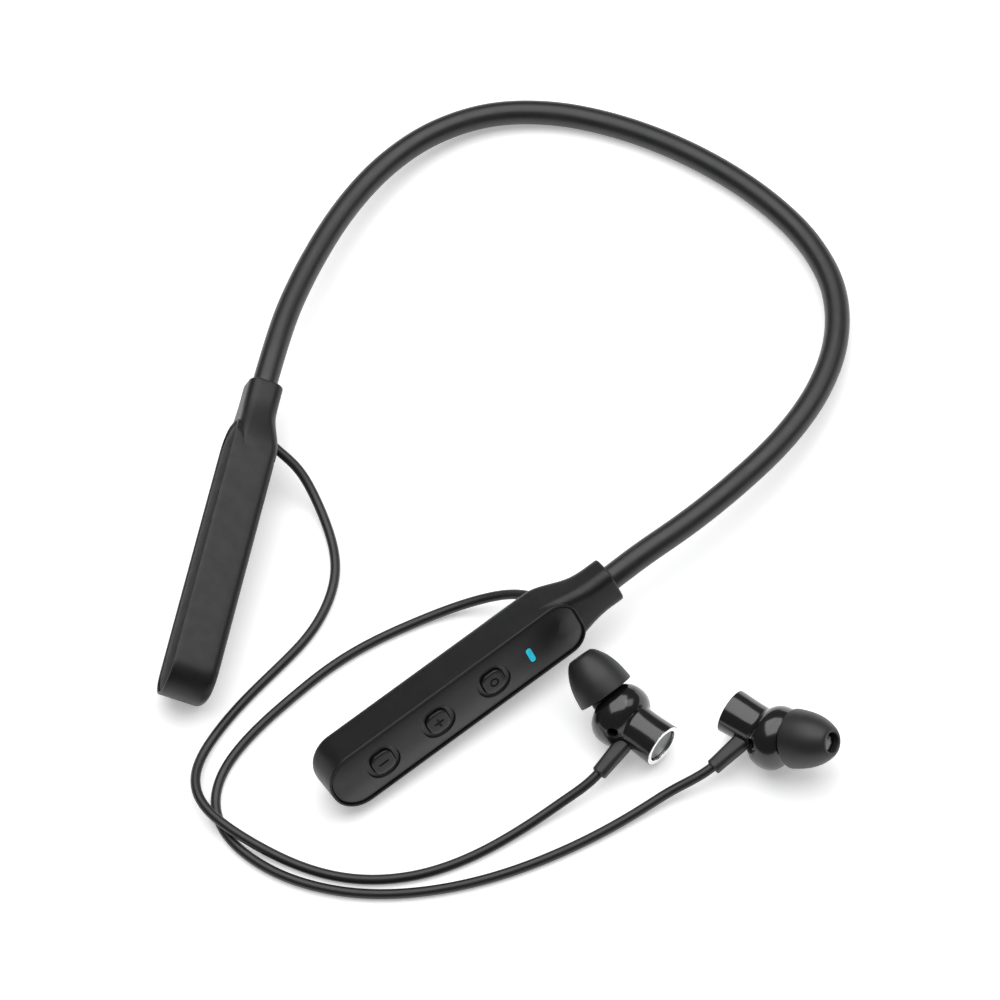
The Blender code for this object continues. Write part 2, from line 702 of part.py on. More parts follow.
def make_charging_port(shell, frame, finish):
    """The socket's metal can with its tongue, and its mouth in the shell's wall."""
    port = port_shape("charging_port", -PORT_DEPTH, 0.0, PORT_WIDTH, PORT_HEIGHT, frame, finish)
    wall = 0.3 * MM
    hollow = port_shape(
        "port_hollow_cut", -PORT_DEPTH + 1.2 * MM, MM, PORT_WIDTH - 2 * wall, PORT_HEIGHT - 2 * wall, frame
    )
    boolean(port, hollow)
    tongue = block(
        "port_tongue_join", (-PORT_DEPTH + 0.6 * MM, -3.3 * MM, -0.35 * MM), (-0.8 * MM, 3.3 * MM, 0.35 * MM),
        parent=frame, place=port_matrix(),
    )
    boolean(port, tongue, "UNION")
    mouth = port_shape(
        "port_mouth_cut", -2.2 * MM, 2.0 * MM, PORT_WIDTH + 2 * GAP, PORT_HEIGHT + 2 * GAP, frame
    )
    boolean(shell, mouth)


def make_control_pod(finishes):
    side = 1
    frame = empty("control_pod_frame", pod_frame(side))
    shell = make_pod_shell("control_pod_shell", frame, finishes["soft_black"])
    for i, station in enumerate(SCREW_STATIONS, start=1):
        add_boss(shell, i, station, frame)
    make_charging_port(shell, frame, finishes["steel"])
    make_control_cover(frame, finishes["cover_black"])
    for name, station in BUTTON_STATIONS.items():
        make_button(name, station, frame, finishes["soft_black"])
    make_control_insides(frame, finishes)
    make_tube_anchor("control_tube_anchor", frame, side, finishes["steel"])
    make_gland("control_cord_gland", frame, finishes["silicone"])
    return frame


def make_battery_pod(finishes):
    side = -1
    frame = empty("battery_pod_frame", pod_frame(side))
    make_pod_shell("battery_pod_shell", frame, finishes["soft_black"])
    make_plain_cover("battery_pod_cover", frame, finishes["cover_black"])
    cell_top = 1.4 * MM
    block(
        "battery_cell", (25.0 * MM, -4.8 * MM, CAVITY_FLOOR + GAP), (72.0 * MM, 4.8 * MM, cell_top),
        finishes["foil"], frame, corner=1.0 * MM,
    )
    board_bottom = cell_top + GAP
    block(
        "battery_board", (26.0 * MM, -4.0 * MM, board_bottom), (40.0 * MM, 4.0 * MM, board_bottom + 0.8 * MM),
        finishes["board_green"], frame,
    )
    make_tube_anchor("battery_tube_anchor", frame, side, finishes["steel"])
    make_gland("battery_cord_gland", frame, finishes["silicone"])
    return frame


# ---------------------------------------------------------------- neckband


def half_route(side, inset):
    """The tube's route on one side, from inside its pod to the middle of the neck."""
    neck = POD_NECKS[side]
    along = (POD_TIPS[side] - neck).normalized()
    route = [mirrored(Vector(p) * MM, side) for p in TUBE_HALF_ROUTE]
    moved = neck - route[0]
    points = [neck + along * inset, neck + along * 0.5 * inset]
    for i, point in enumerate(route):
        points.append(point + moved * max(1.0 - 0.25 * i, 0.0))
    return points


def neck_path(inset, count=TUBE_RINGS):
    """The tube's centre line from the battery pod to the control pod, running on into both pods by inset."""
    whole = half_route(-1, inset) + half_route(1, inset)[::-1]
    return [Vector(p) + BASE_SHIFT for p in smooth_curve(whole, count)]


def make_neckband(finishes):
    frames = ring_frames(neck_path(TUBE_SOCKET_DEPTH - GAP))
    outer = swept_rings(frames, TUBE_RADIUS, TUBE_SIDES)
    inner = swept_rings(frames, TUBE_BORE_RADIUS, TUBE_SIDES)
    count = TUBE_SIDES
    last = len(frames) - 1
    points = [p for ring in outer + inner for p in ring]
    base = len(outer) * count
    faces = []
    for j in range(count):
        k = (j + 1) % count
        for i in range(last):
            a, b = i * count, (i + 1) * count
            faces.append((a + j, a + k, b + k, b + j))
            faces.append((base + a + j, base + b + j, base + b + k, base + a + k))
        faces.append((j, base + j, base + k, k))
        end = last * count
        faces.append((end + j, end + k, base + end + k, base + end + j))
    mesh_object("neckband_tube", points, faces, finishes["silicone"])
    inside = ring_frames(neck_path(ANCHOR_END + 0.8 * MM, TUBE_RINGS + 2))
    wire = swept_rings(inside, WIRE_RADIUS, 6, WIRE_OFFSET)
    loft("memory_wire", wire, finishes["steel"])
    cable = swept_rings(inside, NECK_CABLE_RADIUS, 8, NECK_CABLE_OFFSET)
    loft("neckband_cable", cable, finishes["silicone"])


# ---------------------------------------------------------------- ear buds


def bud_frame(facts):
    heading = math.radians(facts["heading"])
    level = math.cos(BARREL_DROP)
    along = Vector((level * math.cos(heading), level * math.sin(heading), -math.sin(BARREL_DROP)))
    return axes_matrix(Vector(facts["place"]) * MM + BASE_SHIFT, along, Vector((0.0, 0.0, 1.0)))


def nozzle_matrix(side):
    """The nozzle's frame in the bud's: X points out of the nozzle."""
    out = Vector((-1.0, side * math.tan(NOZZLE_SIDE), math.tan(NOZZLE_UP)))
    return axes_matrix(Vector((0.0, 0.0, NOZZLE_LIFT)), out, Vector((0.0, 0.0, 1.0)))


def boot_matrix(facts):
    """The cord boot's frame in the bud's: X points from the barrel's axis to the cord."""
    swing = math.radians(facts["boot_swing"])
    out = Vector((math.sin(swing), -facts["side"] * math.cos(swing), -math.tan(BOOT_DROP)))
    return axes_matrix(Vector((BOOT_STATION, 0.0, 0.0)), out, Vector((0.0, 0.0, 1.0)))


def mm_profile(pairs):
    return [(x * MM, r * MM) for x, r in pairs]


def make_front_shell(name, frame, nozzle, finish):
    """The body's front half, with the collar and the nozzle that grow from it."""
    shell = turned(name, mm_profile(FRONT_SHELL_PROFILE), finish, frame)
    collar = rod(
        name + "_collar_join", COLLAR_START, COLLAR_END, COLLAR_RADIUS, parent=frame, place=nozzle,
        end_radius=COLLAR_END_RADIUS,
    )
    boolean(shell, collar, "UNION")
    tube = rod(
        name + "_nozzle_join", COLLAR_START + MM, NOZZLE_END, NOZZLE_RADIUS, parent=frame, place=nozzle
    )
    boolean(shell, tube, "UNION")
    bore = rod(
        name + "_bore_cut", 1.0 * MM, NOZZLE_END + MM, NOZZLE_BORE, parent=frame, place=nozzle, segments=16
    )
    boolean(shell, bore)
    relief_start = DRIVER_START - 1.1 * MM
    relief = rod(name + "_relief_cut", relief_start, 0.0, DRIVER_RADIUS + 0.2 * MM, parent=frame)
    boolean(shell, relief)


def make_rear_shell(name, frame, boot, finish):
    """The body's back half with the barrel, and the hole in its wall for the cord's leads."""
    shell = turned(name, mm_profile(REAR_SHELL_PROFILE), finish, frame)
    boolean(shell, rod(name + "_lead_cut", 2.0 * MM, 7.0 * MM, LEAD_HOLE_RADIUS, parent=frame, place=boot))


def make_boot(name, frame, boot, finish):
    """The cord's tapered strain relief, hollowed where it meets the body and the barrel."""
    shape = rod(
        name, BOOT_START, BOOT_END, BOOT_RADIUS, finish, frame, boot, segments=18, end_radius=BOOT_END_RADIUS
    )
    boolean(shape, turned(name + "_clearance_cut", mm_profile(BOOT_CLEARANCE_PROFILE), parent=frame))


def make_bud(label, facts, finishes):
    frame = empty(label + "_bud_frame", bud_frame(facts))
    nozzle = nozzle_matrix(facts["side"])
    boot = boot_matrix(facts)
    steel = finishes["steel"]
    turned(label + "_ear_tip", mm_profile(EAR_TIP_PROFILE), finishes["tip_silicone"], frame, nozzle)
    make_front_shell(label + "_bud_front_shell", frame, nozzle, finishes["gloss_black"])
    screen_start = NOZZLE_END + GAP
    rod(
        label + "_nozzle_screen", screen_start, screen_start + SCREEN_THICKNESS, SCREEN_RADIUS, steel, frame,
        nozzle, segments=16,
    )
    make_rear_shell(label + "_bud_rear_shell", frame, boot, finishes["gloss_black"])
    rod(label + "_driver", DRIVER_START, DRIVER_END, DRIVER_RADIUS, steel, frame)
    rod(label + "_end_magnet", MAGNET_START, MAGNET_END, MAGNET_RADIUS, steel, frame)
    rod(label + "_end_disc", DISC_START, DISC_END, DISC_RADIUS, finishes["satin_grey"], frame)
    turned(label + "_end_ring", mm_profile(END_RING_PROFILE), finishes["chrome"], frame)
    make_boot(label + "_cord_boot", frame, boot, finishes["silicone"])


# ---------------------------------------------------------------- cords


def cord_route(side, route, bud):
    """From the gland's face, straight out, through the route's points and straight into the boot."""
    way_out = pod_frame(side) @ exit_matrix()
    way_in = bud_frame(bud) @ boot_matrix(bud)
    start = [way_out @ Vector((x, 0.0, 0.0)) for x in (CORD_END_GAP, 2.5 * MM)]
    end = [way_in @ Vector((x, 0.0, 0.0)) for x in (BOOT_END + 3.0 * MM, BOOT_END + CORD_END_GAP)]
    middle = [Vector(p) * MM + BASE_SHIFT for p in route]
    return start + middle + end


def make_cord(name, points, finish):
    path = smooth_curve(points, CORD_POINTS)
    curve = bpy.data.curves.new(name, "CURVE")
    curve.dimensions = "3D"
    curve.bevel_depth = CORD_RADIUS
    curve.bevel_resolution = 2
    curve.use_fill_caps = True
    spline = curve.splines.new("POLY")
    spline.points.add(len(path) - 1)
    for target, point in zip(spline.points, path):
        target.co = (*point, 1.0)
    curve.materials.append(finish)
    made = bpy.data.objects.new(name, curve)
    bpy.context.scene.collection.objects.link(made)
    return made


def main():
    for old in list(bpy.data.objects):
        bpy.data.objects.remove(old, do_unlink=True)
    finishes = make_materials()
    make_control_pod(finishes)
    make_battery_pod(finishes)
    make_neckband(finishes)
    for label, facts in BUDS.items():
        make_bud(label, facts, finishes)
    make_cord("battery_cord", cord_route(-1, BATTERY_CORD_ROUTE, BUDS["left"]), finishes["silicone"])
    make_cord("control_cord", cord_route(1, CONTROL_CORD_ROUTE, BUDS["right"]), finishes["silicone"])
    bpy.context.view_layer.update()


main()
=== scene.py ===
"""Neckband earphones on a pale floor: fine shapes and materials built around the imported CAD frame.

The finished pieces are in metres in the CAD's own frame. Profiles, levels and routes are written in
millimetres, and MM turns them into metres.
"""

import json
import math

import bmesh
import bpy
import numpy as np
from mathutils import Matrix, Vector

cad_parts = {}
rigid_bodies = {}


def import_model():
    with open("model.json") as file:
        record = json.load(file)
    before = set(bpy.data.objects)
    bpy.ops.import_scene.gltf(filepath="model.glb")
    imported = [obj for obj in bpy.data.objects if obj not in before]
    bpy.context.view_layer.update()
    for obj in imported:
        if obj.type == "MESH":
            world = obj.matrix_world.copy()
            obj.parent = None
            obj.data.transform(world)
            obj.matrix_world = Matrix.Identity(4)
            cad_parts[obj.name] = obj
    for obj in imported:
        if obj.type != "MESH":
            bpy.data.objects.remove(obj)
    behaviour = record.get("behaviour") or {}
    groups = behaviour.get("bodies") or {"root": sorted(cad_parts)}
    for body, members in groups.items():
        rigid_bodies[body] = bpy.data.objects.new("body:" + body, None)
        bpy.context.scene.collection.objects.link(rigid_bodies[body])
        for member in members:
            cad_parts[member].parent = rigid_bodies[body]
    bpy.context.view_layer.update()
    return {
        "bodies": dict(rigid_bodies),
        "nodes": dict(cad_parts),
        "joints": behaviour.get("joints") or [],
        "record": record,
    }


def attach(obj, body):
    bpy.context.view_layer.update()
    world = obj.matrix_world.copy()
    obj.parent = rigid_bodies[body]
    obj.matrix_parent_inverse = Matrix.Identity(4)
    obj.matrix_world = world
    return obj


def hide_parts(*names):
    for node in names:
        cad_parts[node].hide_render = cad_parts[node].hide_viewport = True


MM = 0.001

# The routes and places below are measured from between the pods' necks, and this shift takes them to the
# CAD's origin
BASE_SHIFT = Vector((-25.2, -14.8, 0.0)) * MM
ROOT_BODY = "earphones"

# Neck tube: the route of its +X half, from the pod's mouth to the middle of the back
TUBE_RADIUS = 2.95 * MM
TUBE_BORE_RADIUS = 1.75 * MM
TUBE_HALF_ROUTE = (
    (48.5, -3.0, 13.8),
    (51.5, 4.8, 14.1),
    (54.4, 12.0, 13.6),
    (57.0, 19.2, 12.8),
    (60.7, 33.9, 11.0),
    (62.8, 49.0, 9.2),
    (62.4, 64.0, 7.6),
    (58.4, 78.4, 6.1),
    (49.8, 91.0, 4.6),
    (37.2, 99.6, 3.5),
    (22.7, 104.4, 3.0),
    (7.6, 106.5, 2.96),
)
TUBE_INSET = 9.2 * MM

# Pods: X runs from the neck end to the free end, Z is the cover's normal. 1 is the control pod at +X and
# -1 the battery pod. The bent neck lets each pod lie a little differently. Sizes and heights in a pod's
# own frame are in millimetres.
POD_NECKS = {1: Vector((49.7, -3.8, 13.8)) * MM, -1: Vector((-48.9, -3.1, 13.8)) * MM}
POD_TIPS = {1: Vector((21.0, -78.1, 8.3)) * MM, -1: Vector((-20.3, -77.9, 8.3)) * MM}
COVER_TILTS = {1: math.radians(23.0), -1: math.radians(27.0)}
POD_LENGTH = 80.0
POD_HALF_WIDTH = 7.4
POD_BOTTOM = -6.2
POD_END_RADIUS = 7.1
BACK_ROUNDING = 2.2
TRAY_WALL = 1.5
COVER_START = 11.75
COVER_END = 79.3
COVER_HALF_WIDTH = 6.7
COVER_MIDDLE_HEIGHT = 5.2
COVER_CROWN_RADIUS = 28.0
KEY_FLANGE_BOTTOM = 2.5
KEY_FLANGE_TOP = 3.1
MARK_FLOOR = 5.14
HOLE_BOTTOM = 3.0
HOLE_TOP = 7.0
BUTTON_STATIONS = {"multi": 35.6, "plus": 51.0, "minus": 66.3}
LED_STATION = 25.3
LED_HALF_LENGTH = 2.05
LED_HALF_WIDTH = 0.65
PORT_STATION = 69.0
PORT_MIDDLE = -2.45
PORT_WIDTH = 9.5
PORT_HEIGHT = 3.7
CORD_EXIT_STATION = 13.4
CORD_EXIT_SLANT = math.radians(30.0)
GLAND_RADIUS = 1.7
GLAND_BORE = 1.2
GLAND_DEPTH = 1.6
SLEEVE_ROUNDING = 0.55
SLEEVE_BORE = 3.0
SLEEVE_DEPTH = 9.4
NECK_END = 19.4
NECK_BORE = 2.6

# Cords: their routes over the floor, from the pod's grommet to the bud's boot
CORD_RADIUS = 1.15 * MM
CORD_POINTS = 150
BATTERY_CORD_ROUTE = (
    (-33.6, -13.6, 7.3),
    (-28.9, -15.6, 4.9),
    (-23.6, -18.8, 2.7),
    (-18.6, -22.4, 1.5),
    (-14.3, -26.2, 1.2),
    (-10.6, -31.0, 1.2),
    (-8.0, -38.0, 1.2),
    (-7.0, -46.5, 1.2),
    (-8.0, -54.6, 1.2),
    (-9.5, -62.7, 1.2),
    (-10.7, -70.8, 1.2),
    (-11.1, -79.0, 1.3),
    (-10.4, -85.5, 2.0),
    (-8.0, -90.9, 3.4),
    (-3.6, -94.8, 4.1),
    (1.6, -96.2, 4.2),
    (6.8, -96.7, 3.9),
    (12.6, -96.5, 2.7),
    (21.1, -95.7, 1.4),
    (29.1, -94.2, 1.2),
    (36.7, -91.5, 1.2),
    (43.5, -87.5, 1.2),
    (49.5, -82.4, 1.2),
    (54.5, -76.4, 1.2),
    (58.7, -69.8, 1.3),
    (62.3, -62.8, 1.6),
    (65.5, -56.0, 2.3),
    (68.4, -49.5, 3.4),
)
CONTROL_CORD_ROUTE = (
    (31.7, -14.7, 7.1),
    (26.6, -17.2, 5.2),
    (21.5, -21.0, 3.2),
    (16.6, -26.0, 1.8),
    (12.4, -31.6, 1.25),
    (8.4, -37.7, 1.2),
    (4.6, -44.6, 1.2),
    (1.3, -52.6, 1.2),
    (-1.0, -61.0, 1.2),
    (-3.1, -69.4, 1.2),
    (-4.4, -77.9, 1.2),
    (-4.2, -86.3, 1.2),
    (-1.2, -93.2, 1.2),
    (5.0, -97.6, 1.2),
    (12.6, -99.3, 1.2),
    (21.5, -99.3, 1.2),
    (30.4, -97.4, 1.2),
    (38.8, -94.2, 1.2),
    (46.4, -89.9, 1.2),
    (53.5, -84.6, 1.2),
    (60.0, -78.6, 1.2),
    (66.0, -71.9, 1.2),
    (71.4, -64.6, 1.2),
    (76.2, -57.2, 1.3),
    (80.6, -49.4, 1.6),
    (84.4, -42.0, 2.3),
    (87.6, -35.4, 3.3),
)

# Ear buds: X runs along the barrel to its ring, Z is up, and the origin is the middle of the body. Sizes
# are in millimetres, and a turned piece's profile is a loop of (x, radius) pairs.
BODY_RADIUS = 7.5
SHELL_GAP = 0.012
BARREL_BORE = 4.15
BARREL_END = 12.3
RING_SEAT = 11.36
NOZZLE_RADIUS = 2.2
NOZZLE_BORE = 1.5
NOZZLE_END = 13.5
VENT_STATION = 2.7
VENT_RADIUS = 1.1
NOZZLE_LIFT = 0.8
NOZZLE_UP = math.radians(28.8)
NOZZLE_SIDE = math.radians(12.7)
BOOT_STATION = 4.9
BOOT_END = 13.6
BOOT_DROP = math.radians(10.0)
BUDS = {
    "left": {"place": (68.4, -29.0, BODY_RADIUS), "heading": -7.0, "side": 1, "boot_swing": -1.7},
    "right": {"place": (101.3, -15.9, BODY_RADIUS), "heading": 177.7, "side": -1, "boot_swing": 15.4},
}

# Camera: where it stands, its own right and up directions, and its lens
CAMERA_PLACE = Vector((346.44, -308.19, 827.54)) * MM
CAMERA_RIGHT = Vector((0.82197, 0.55621, -0.12241))
CAMERA_UP = Vector((-0.44578, 0.76211, 0.46955))
CAMERA_LENS = 145.6
CAMERA_SENSOR = 36.0

# Studio
WORLD_STRENGTH = 0.13
WORLD_COLOUR = (0.9, 0.92, 0.95, 1.0)
FLOOR_GLOW = 0.35
FLOOR_HALF = 4.0
OVERHEAD_POWER = 13.0
OVERHEAD_PLACE = (-0.16, 0.2, 0.95)
OVERHEAD_SIDE = 1.2
BACK_POWER = 2.6
BACK_PLACE = (0.5, 0.58, 0.8)
BACK_SIDE = 0.6

# Finishes and edges: noise mostly stays between these two values, and an edge is sharp past its angle
NOISE_LOW = 0.3
NOISE_HIGH = 0.7
CRISP_ANGLE = 30.0
CROWN_CRISP_ANGLE = 40.0


# ---------------------------------------------------------------- materials


class Shader:
    """A Principled material with helpers for its procedural nodes."""

    def __init__(self, name, colour, roughness, metallic=0.0, specular=0.5):
        self.material = bpy.data.materials.new(name)
        self.material.use_nodes = True
        self.nodes = self.material.node_tree.nodes
        self.links = self.material.node_tree.links
        self.shader = self.nodes["Principled BSDF"]
        self.shader.inputs["Base Color"].default_value = (*colour, 1.0)
        self.shader.inputs["Roughness"].default_value = roughness
        self.shader.inputs["Metallic"].default_value = metallic
        self.shader.inputs["Specular IOR Level"].default_value = specular
        self.place = self.nodes.new("ShaderNodeTexCoord").outputs["Object"]

    def noise(self, scale, detail=2.0, stretch=None):
        """Noise in object space, with its scale in cycles a metre."""
        node = self.nodes.new("ShaderNodeTexNoise")
        node.inputs["Scale"].default_value = scale
        node.inputs["Detail"].default_value = detail
        source = self.place
        if stretch:
            mapping = self.nodes.new("ShaderNodeMapping")
            mapping.inputs["Scale"].default_value = stretch
            self.links.new(source, mapping.inputs["Vector"])
            source = mapping.outputs["Vector"]
        self.links.new(source, node.inputs["Vector"])
        return node.outputs["Fac"]

    def ranged(self, value, low, high):
        """A noise value spread over low to high."""
        node = self.nodes.new("ShaderNodeMapRange")
        node.inputs["From Min"].default_value = NOISE_LOW
        node.inputs["From Max"].default_value = NOISE_HIGH
        node.inputs["To Min"].default_value = low
        node.inputs["To Max"].default_value = high
        self.links.new(value, node.inputs["Value"])
        return node.outputs["Result"]

    def vary_roughness(self, value, low, high):
        self.links.new(self.ranged(value, low, high), self.shader.inputs["Roughness"])

    def vary_colour(self, value, dark, light):
        node = self.nodes.new("ShaderNodeMix")
        node.data_type = "RGBA"
        node.inputs["A"].default_value = (*dark, 1.0)
        node.inputs["B"].default_value = (*light, 1.0)
        self.links.new(self.ranged(value, 0.0, 1.0), node.inputs["Factor"])
        self.links.new(node.outputs["Result"], self.shader.inputs["Base Color"])

    def bump(self, value, distance, strength):
        node = self.nodes.new("ShaderNodeBump")
        node.inputs["Distance"].default_value = distance
        node.inputs["Strength"].default_value = strength
        self.links.new(value, node.inputs["Height"])
        self.links.new(node.outputs["Normal"], self.shader.inputs["Normal"])


def soft_plastic(name, colour, rough_low, rough_high, specular=0.5):
    """Soft-touch moulded plastic: a very fine even grain and slight changes in its sheen."""
    made = Shader(name, colour, rough_low, specular=specular)
    made.vary_roughness(made.noise(420.0, 3.0), rough_low, rough_high)
    made.vary_colour(made.noise(160.0, 2.0), [c * 0.88 for c in colour], [c * 1.12 for c in colour])
    made.bump(made.noise(5200.0, 1.0), 0.012 * MM, 0.5)
    return made.material


def silicone(name, colour, rough_low, rough_high, grain=0.008 * MM):
    """Satin silicone with a faint orange-peel surface, as deep as grain."""
    made = Shader(name, colour, rough_low)
    made.vary_roughness(made.noise(260.0, 3.0), rough_low, rough_high)
    made.vary_colour(made.noise(120.0, 2.0), [c * 0.9 for c in colour], [c * 1.15 for c in colour])
    made.bump(made.noise(2600.0, 2.0), grain, 0.5)
    return made.material


def gloss_plastic(name, colour):
    """Piano-black lacquer with a trace of waviness."""
    made = Shader(name, colour, 0.18)
    made.vary_roughness(made.noise(300.0, 2.0), 0.15, 0.21)
    made.vary_colour(made.noise(90.0, 1.0), [c * 0.95 for c in colour], [c * 1.1 for c in colour])
    made.bump(made.noise(450.0, 1.0), 0.004 * MM, 0.4)
    made.shader.inputs["Coat Weight"].default_value = 0.3
    made.shader.inputs["Coat Roughness"].default_value = 0.1
    return made.material


def metal(name, colour, rough_low, rough_high, stretch=None):
    """Metal with fine changes in its sheen, drawn out into streaks where stretch is given."""
    made = Shader(name, colour, rough_low, metallic=1.0)
    streaks = made.noise(900.0, 3.0, stretch)
    made.vary_roughness(streaks, rough_low, rough_high)
    made.vary_colour(made.noise(200.0, 2.0), [c * 0.93 for c in colour], colour)
    made.bump(streaks, 0.003 * MM, 0.4)
    return made.material


def glowing_light(name, colour):
    """A lit light guide with a slightly cloudy glow."""
    made = Shader(name, colour, 0.3)
    cloud = made.noise(1500.0, 2.0)
    made.vary_colour(cloud, [c * 0.1 for c in colour], [c * 0.2 for c in colour])
    made.shader.inputs["Emission Color"].default_value = (*colour, 1.0)
    made.links.new(made.ranged(cloud, 0.72, 0.92), made.shader.inputs["Emission Strength"])
    return made.material


def circuit_board(name):
    """Green solder mask with a fine pattern under it."""
    made = Shader(name, (0.02, 0.16, 0.07), 0.4)
    made.vary_colour(made.noise(900.0, 4.0), (0.01, 0.09, 0.04), (0.03, 0.2, 0.09))
    made.vary_roughness(made.noise(500.0), 0.3, 0.5)
    return made.material


def make_materials():
    """The finishes by name: every slot of the record, and a few more for this scene's own pieces."""
    return {
        "soft_black": soft_plastic("pod_soft_touch", (0.0055, 0.0055, 0.0057), 0.4, 0.48, 0.4),
        "cover_black": soft_plastic("cover_soft_touch", (0.008, 0.008, 0.0082), 0.36, 0.42, 0.6),
        "strip_black": soft_plastic("strip_soft_touch", (0.004, 0.004, 0.0042), 0.58, 0.64, 0.1),
        "key_black": soft_plastic("key_soft_touch", (0.008, 0.008, 0.0082), 0.34, 0.42),
        # The key mark's colour is darker than the key's: painted shade for the engraved grooves
        "mark_painted_shade": soft_plastic("key_mark", (0.002, 0.002, 0.002), 0.7, 0.8),
        "silicone": silicone("tube_silicone", (0.0105, 0.0105, 0.0108), 0.36, 0.44),
        "cord_silicone": silicone("cord_silicone", (0.0105, 0.0105, 0.0108), 0.36, 0.44, 0.004 * MM),
        "boot_silicone": silicone("boot_silicone", (0.012, 0.012, 0.0122), 0.42, 0.5, 0.004 * MM),
        "tip_silicone": silicone("tip_silicone", (0.012, 0.012, 0.0122), 0.44, 0.52, 0.003 * MM),
        "gloss_black": gloss_plastic("bud_lacquer", (0.009, 0.009, 0.0095)),
        "collar_black": soft_plastic("collar_matte", (0.004, 0.004, 0.004), 0.6, 0.7),
        "chrome": metal("ring_chrome", (0.93, 0.93, 0.94), 0.04, 0.09),
        "satin_grey": metal("disc_satin", (0.24, 0.24, 0.24), 0.48, 0.56),
        "cyan": glowing_light("light_guide", (0.01, 0.5, 0.68)),
        "board_green": circuit_board("circuit_board"),
        "steel": metal("plain_steel", (0.55, 0.55, 0.57), 0.25, 0.4, (1.0, 6.0, 1.0)),
        "mesh_steel": metal("screen_steel", (0.25, 0.25, 0.26), 0.3, 0.45),
        "foil": metal("pouch_foil", (0.6, 0.61, 0.63), 0.3, 0.5),
    }


# ---------------------------------------------------------------- building blocks


def axes_matrix(origin, x_axis, z_axis):
    """The frame with this origin and X axis, and with Z as near as it goes to z_axis."""
    x_axis = x_axis.normalized()
    y_axis = z_axis.cross(x_axis).normalized()
    z_axis = x_axis.cross(y_axis)
    matrix = Matrix((x_axis, y_axis, z_axis)).transposed().to_4x4()
    matrix.translation = origin
    return matrix


def mesh_object(name, points, faces, finish=None, place=None, crisp=CRISP_ANGLE):
    """A mesh object with outward faces. Its points are in metres in the frame given by place. Edges that
    turn by more than crisp degrees stay sharp.
    """
    mesh = bpy.data.meshes.new(name)
    if place is not None:
        points = [place @ Vector(p) for p in points]
    mesh.from_pydata([tuple(p) for p in points], [], faces)
    shape = bmesh.new()
    shape.from_mesh(mesh)
    bmesh.ops.remove_doubles(shape, verts=shape.verts, dist=1e-7)
    bmesh.ops.recalc_face_normals(shape, faces=shape.faces)
    shape.to_mesh(mesh)
    shape.free()
    mesh.shade_smooth()
    mesh.set_sharp_from_angle(angle=math.radians(crisp))
    made = bpy.data.objects.new(name, mesh)
    bpy.context.scene.collection.objects.link(made)
    if finish:
        mesh.materials.append(finish)
    return made


def ring_faces(ring_count, count, closed=False):
    """Faces between neighbouring rings of count points, and from the last ring to the first when closed."""
    faces = []
    for i in range(ring_count if closed else ring_count - 1):
        after = (i + 1) % ring_count
        for j in range(count):
            k = (j + 1) % count
            faces.append((i * count + j, i * count + k, after * count + k, after * count + j))
    return faces


def loft(name, rings, finish=None, place=None, crisp=CRISP_ANGLE):
    """A body through rings of equal point counts, with flat ends. Ring points are in millimetres."""
    count = len(rings[0])
    points = [Vector(p) * MM for ring in rings for p in ring]
    faces = ring_faces(len(rings), count)
    last = (len(rings) - 1) * count
    faces.append(tuple(range(count)))
    faces.append(tuple(last + j for j in range(count)))
    return mesh_object(name, points, faces, finish, place, crisp)


def turned(name, profile, finish=None, place=None, segments=72):
    """A closed body of revolution about X from a closed loop of (x, radius) pairs in millimetres."""
    points = []
    for i in range(segments):
        angle = 2 * math.pi * i / segments
        points += [Vector((x, r * math.cos(angle), r * math.sin(angle))) * MM for x, r in profile]
    faces = ring_faces(segments, len(profile), closed=True)
    return mesh_object(name, points, faces, finish, place)


def rod(name, start, end, radius, place):
    """A round rod along X, for cutting holes."""
    rings = [[(x, y, z) for y, z in circle_loop(radius, 48)] for x in (start, end)]
    return loft(name, rings, place=place)


def rounded_profile(corners, steps=5):
    """A closed profile with its corners rounded. Corners are (x, radius, rounding) in millimetres."""
    result = []
    count = len(corners)
    for i, (x, r, rounding) in enumerate(corners):
        here = Vector((x, r))
        if rounding <= 0.0:
            result.append((x, r))
            continue
        before = (Vector(corners[i - 1][:2]) - here).normalized()
        after = (Vector(corners[(i + 1) % count][:2]) - here).normalized()
        start = here + before * rounding
        end = here + after * rounding
        for k in range(steps + 1):
            t = k / steps
            point = start * (1 - t) ** 2 + here * 2 * t * (1 - t) + end * t**2
            result.append((point.x, point.y))
    return result


def circle_loop(radius, count=64):
    turns = [2 * math.pi * i / count for i in range(count)]
    return [(radius * math.cos(turn), radius * math.sin(turn)) for turn in turns]


def outline(x0, x1, half_width, start_radius, end_radius, steps=14, sides=26):
    """Points of a flat shape with round corners, each end with its own radius. A corner has steps steps,
    and a long side has sides.
    """
    corners = (
        (x1 - end_radius, half_width - end_radius, end_radius, 0.0),
        (x0 + start_radius, half_width - start_radius, start_radius, 0.5 * math.pi),
        (x0 + start_radius, -half_width + start_radius, start_radius, math.pi),
        (x1 - end_radius, -half_width + end_radius, end_radius, 1.5 * math.pi),
    )
    loop = []
    for n, (cx, cy, radius, start) in enumerate(corners):
        for i in range(steps + 1):
            angle = start + 0.5 * math.pi * i / steps
            loop.append((cx + radius * math.cos(angle), cy + radius * math.sin(angle)))
        next_x, next_y, next_radius, turn = corners[(n + 1) % 4]
        x, y = loop[-1]
        across = next_x + next_radius * math.cos(turn) - x
        up = next_y + next_radius * math.sin(turn) - y
        fill = sides if n % 2 == 0 else 3
        loop += [(x + across * i / fill, y + up * i / fill) for i in range(1, fill)]
    return loop


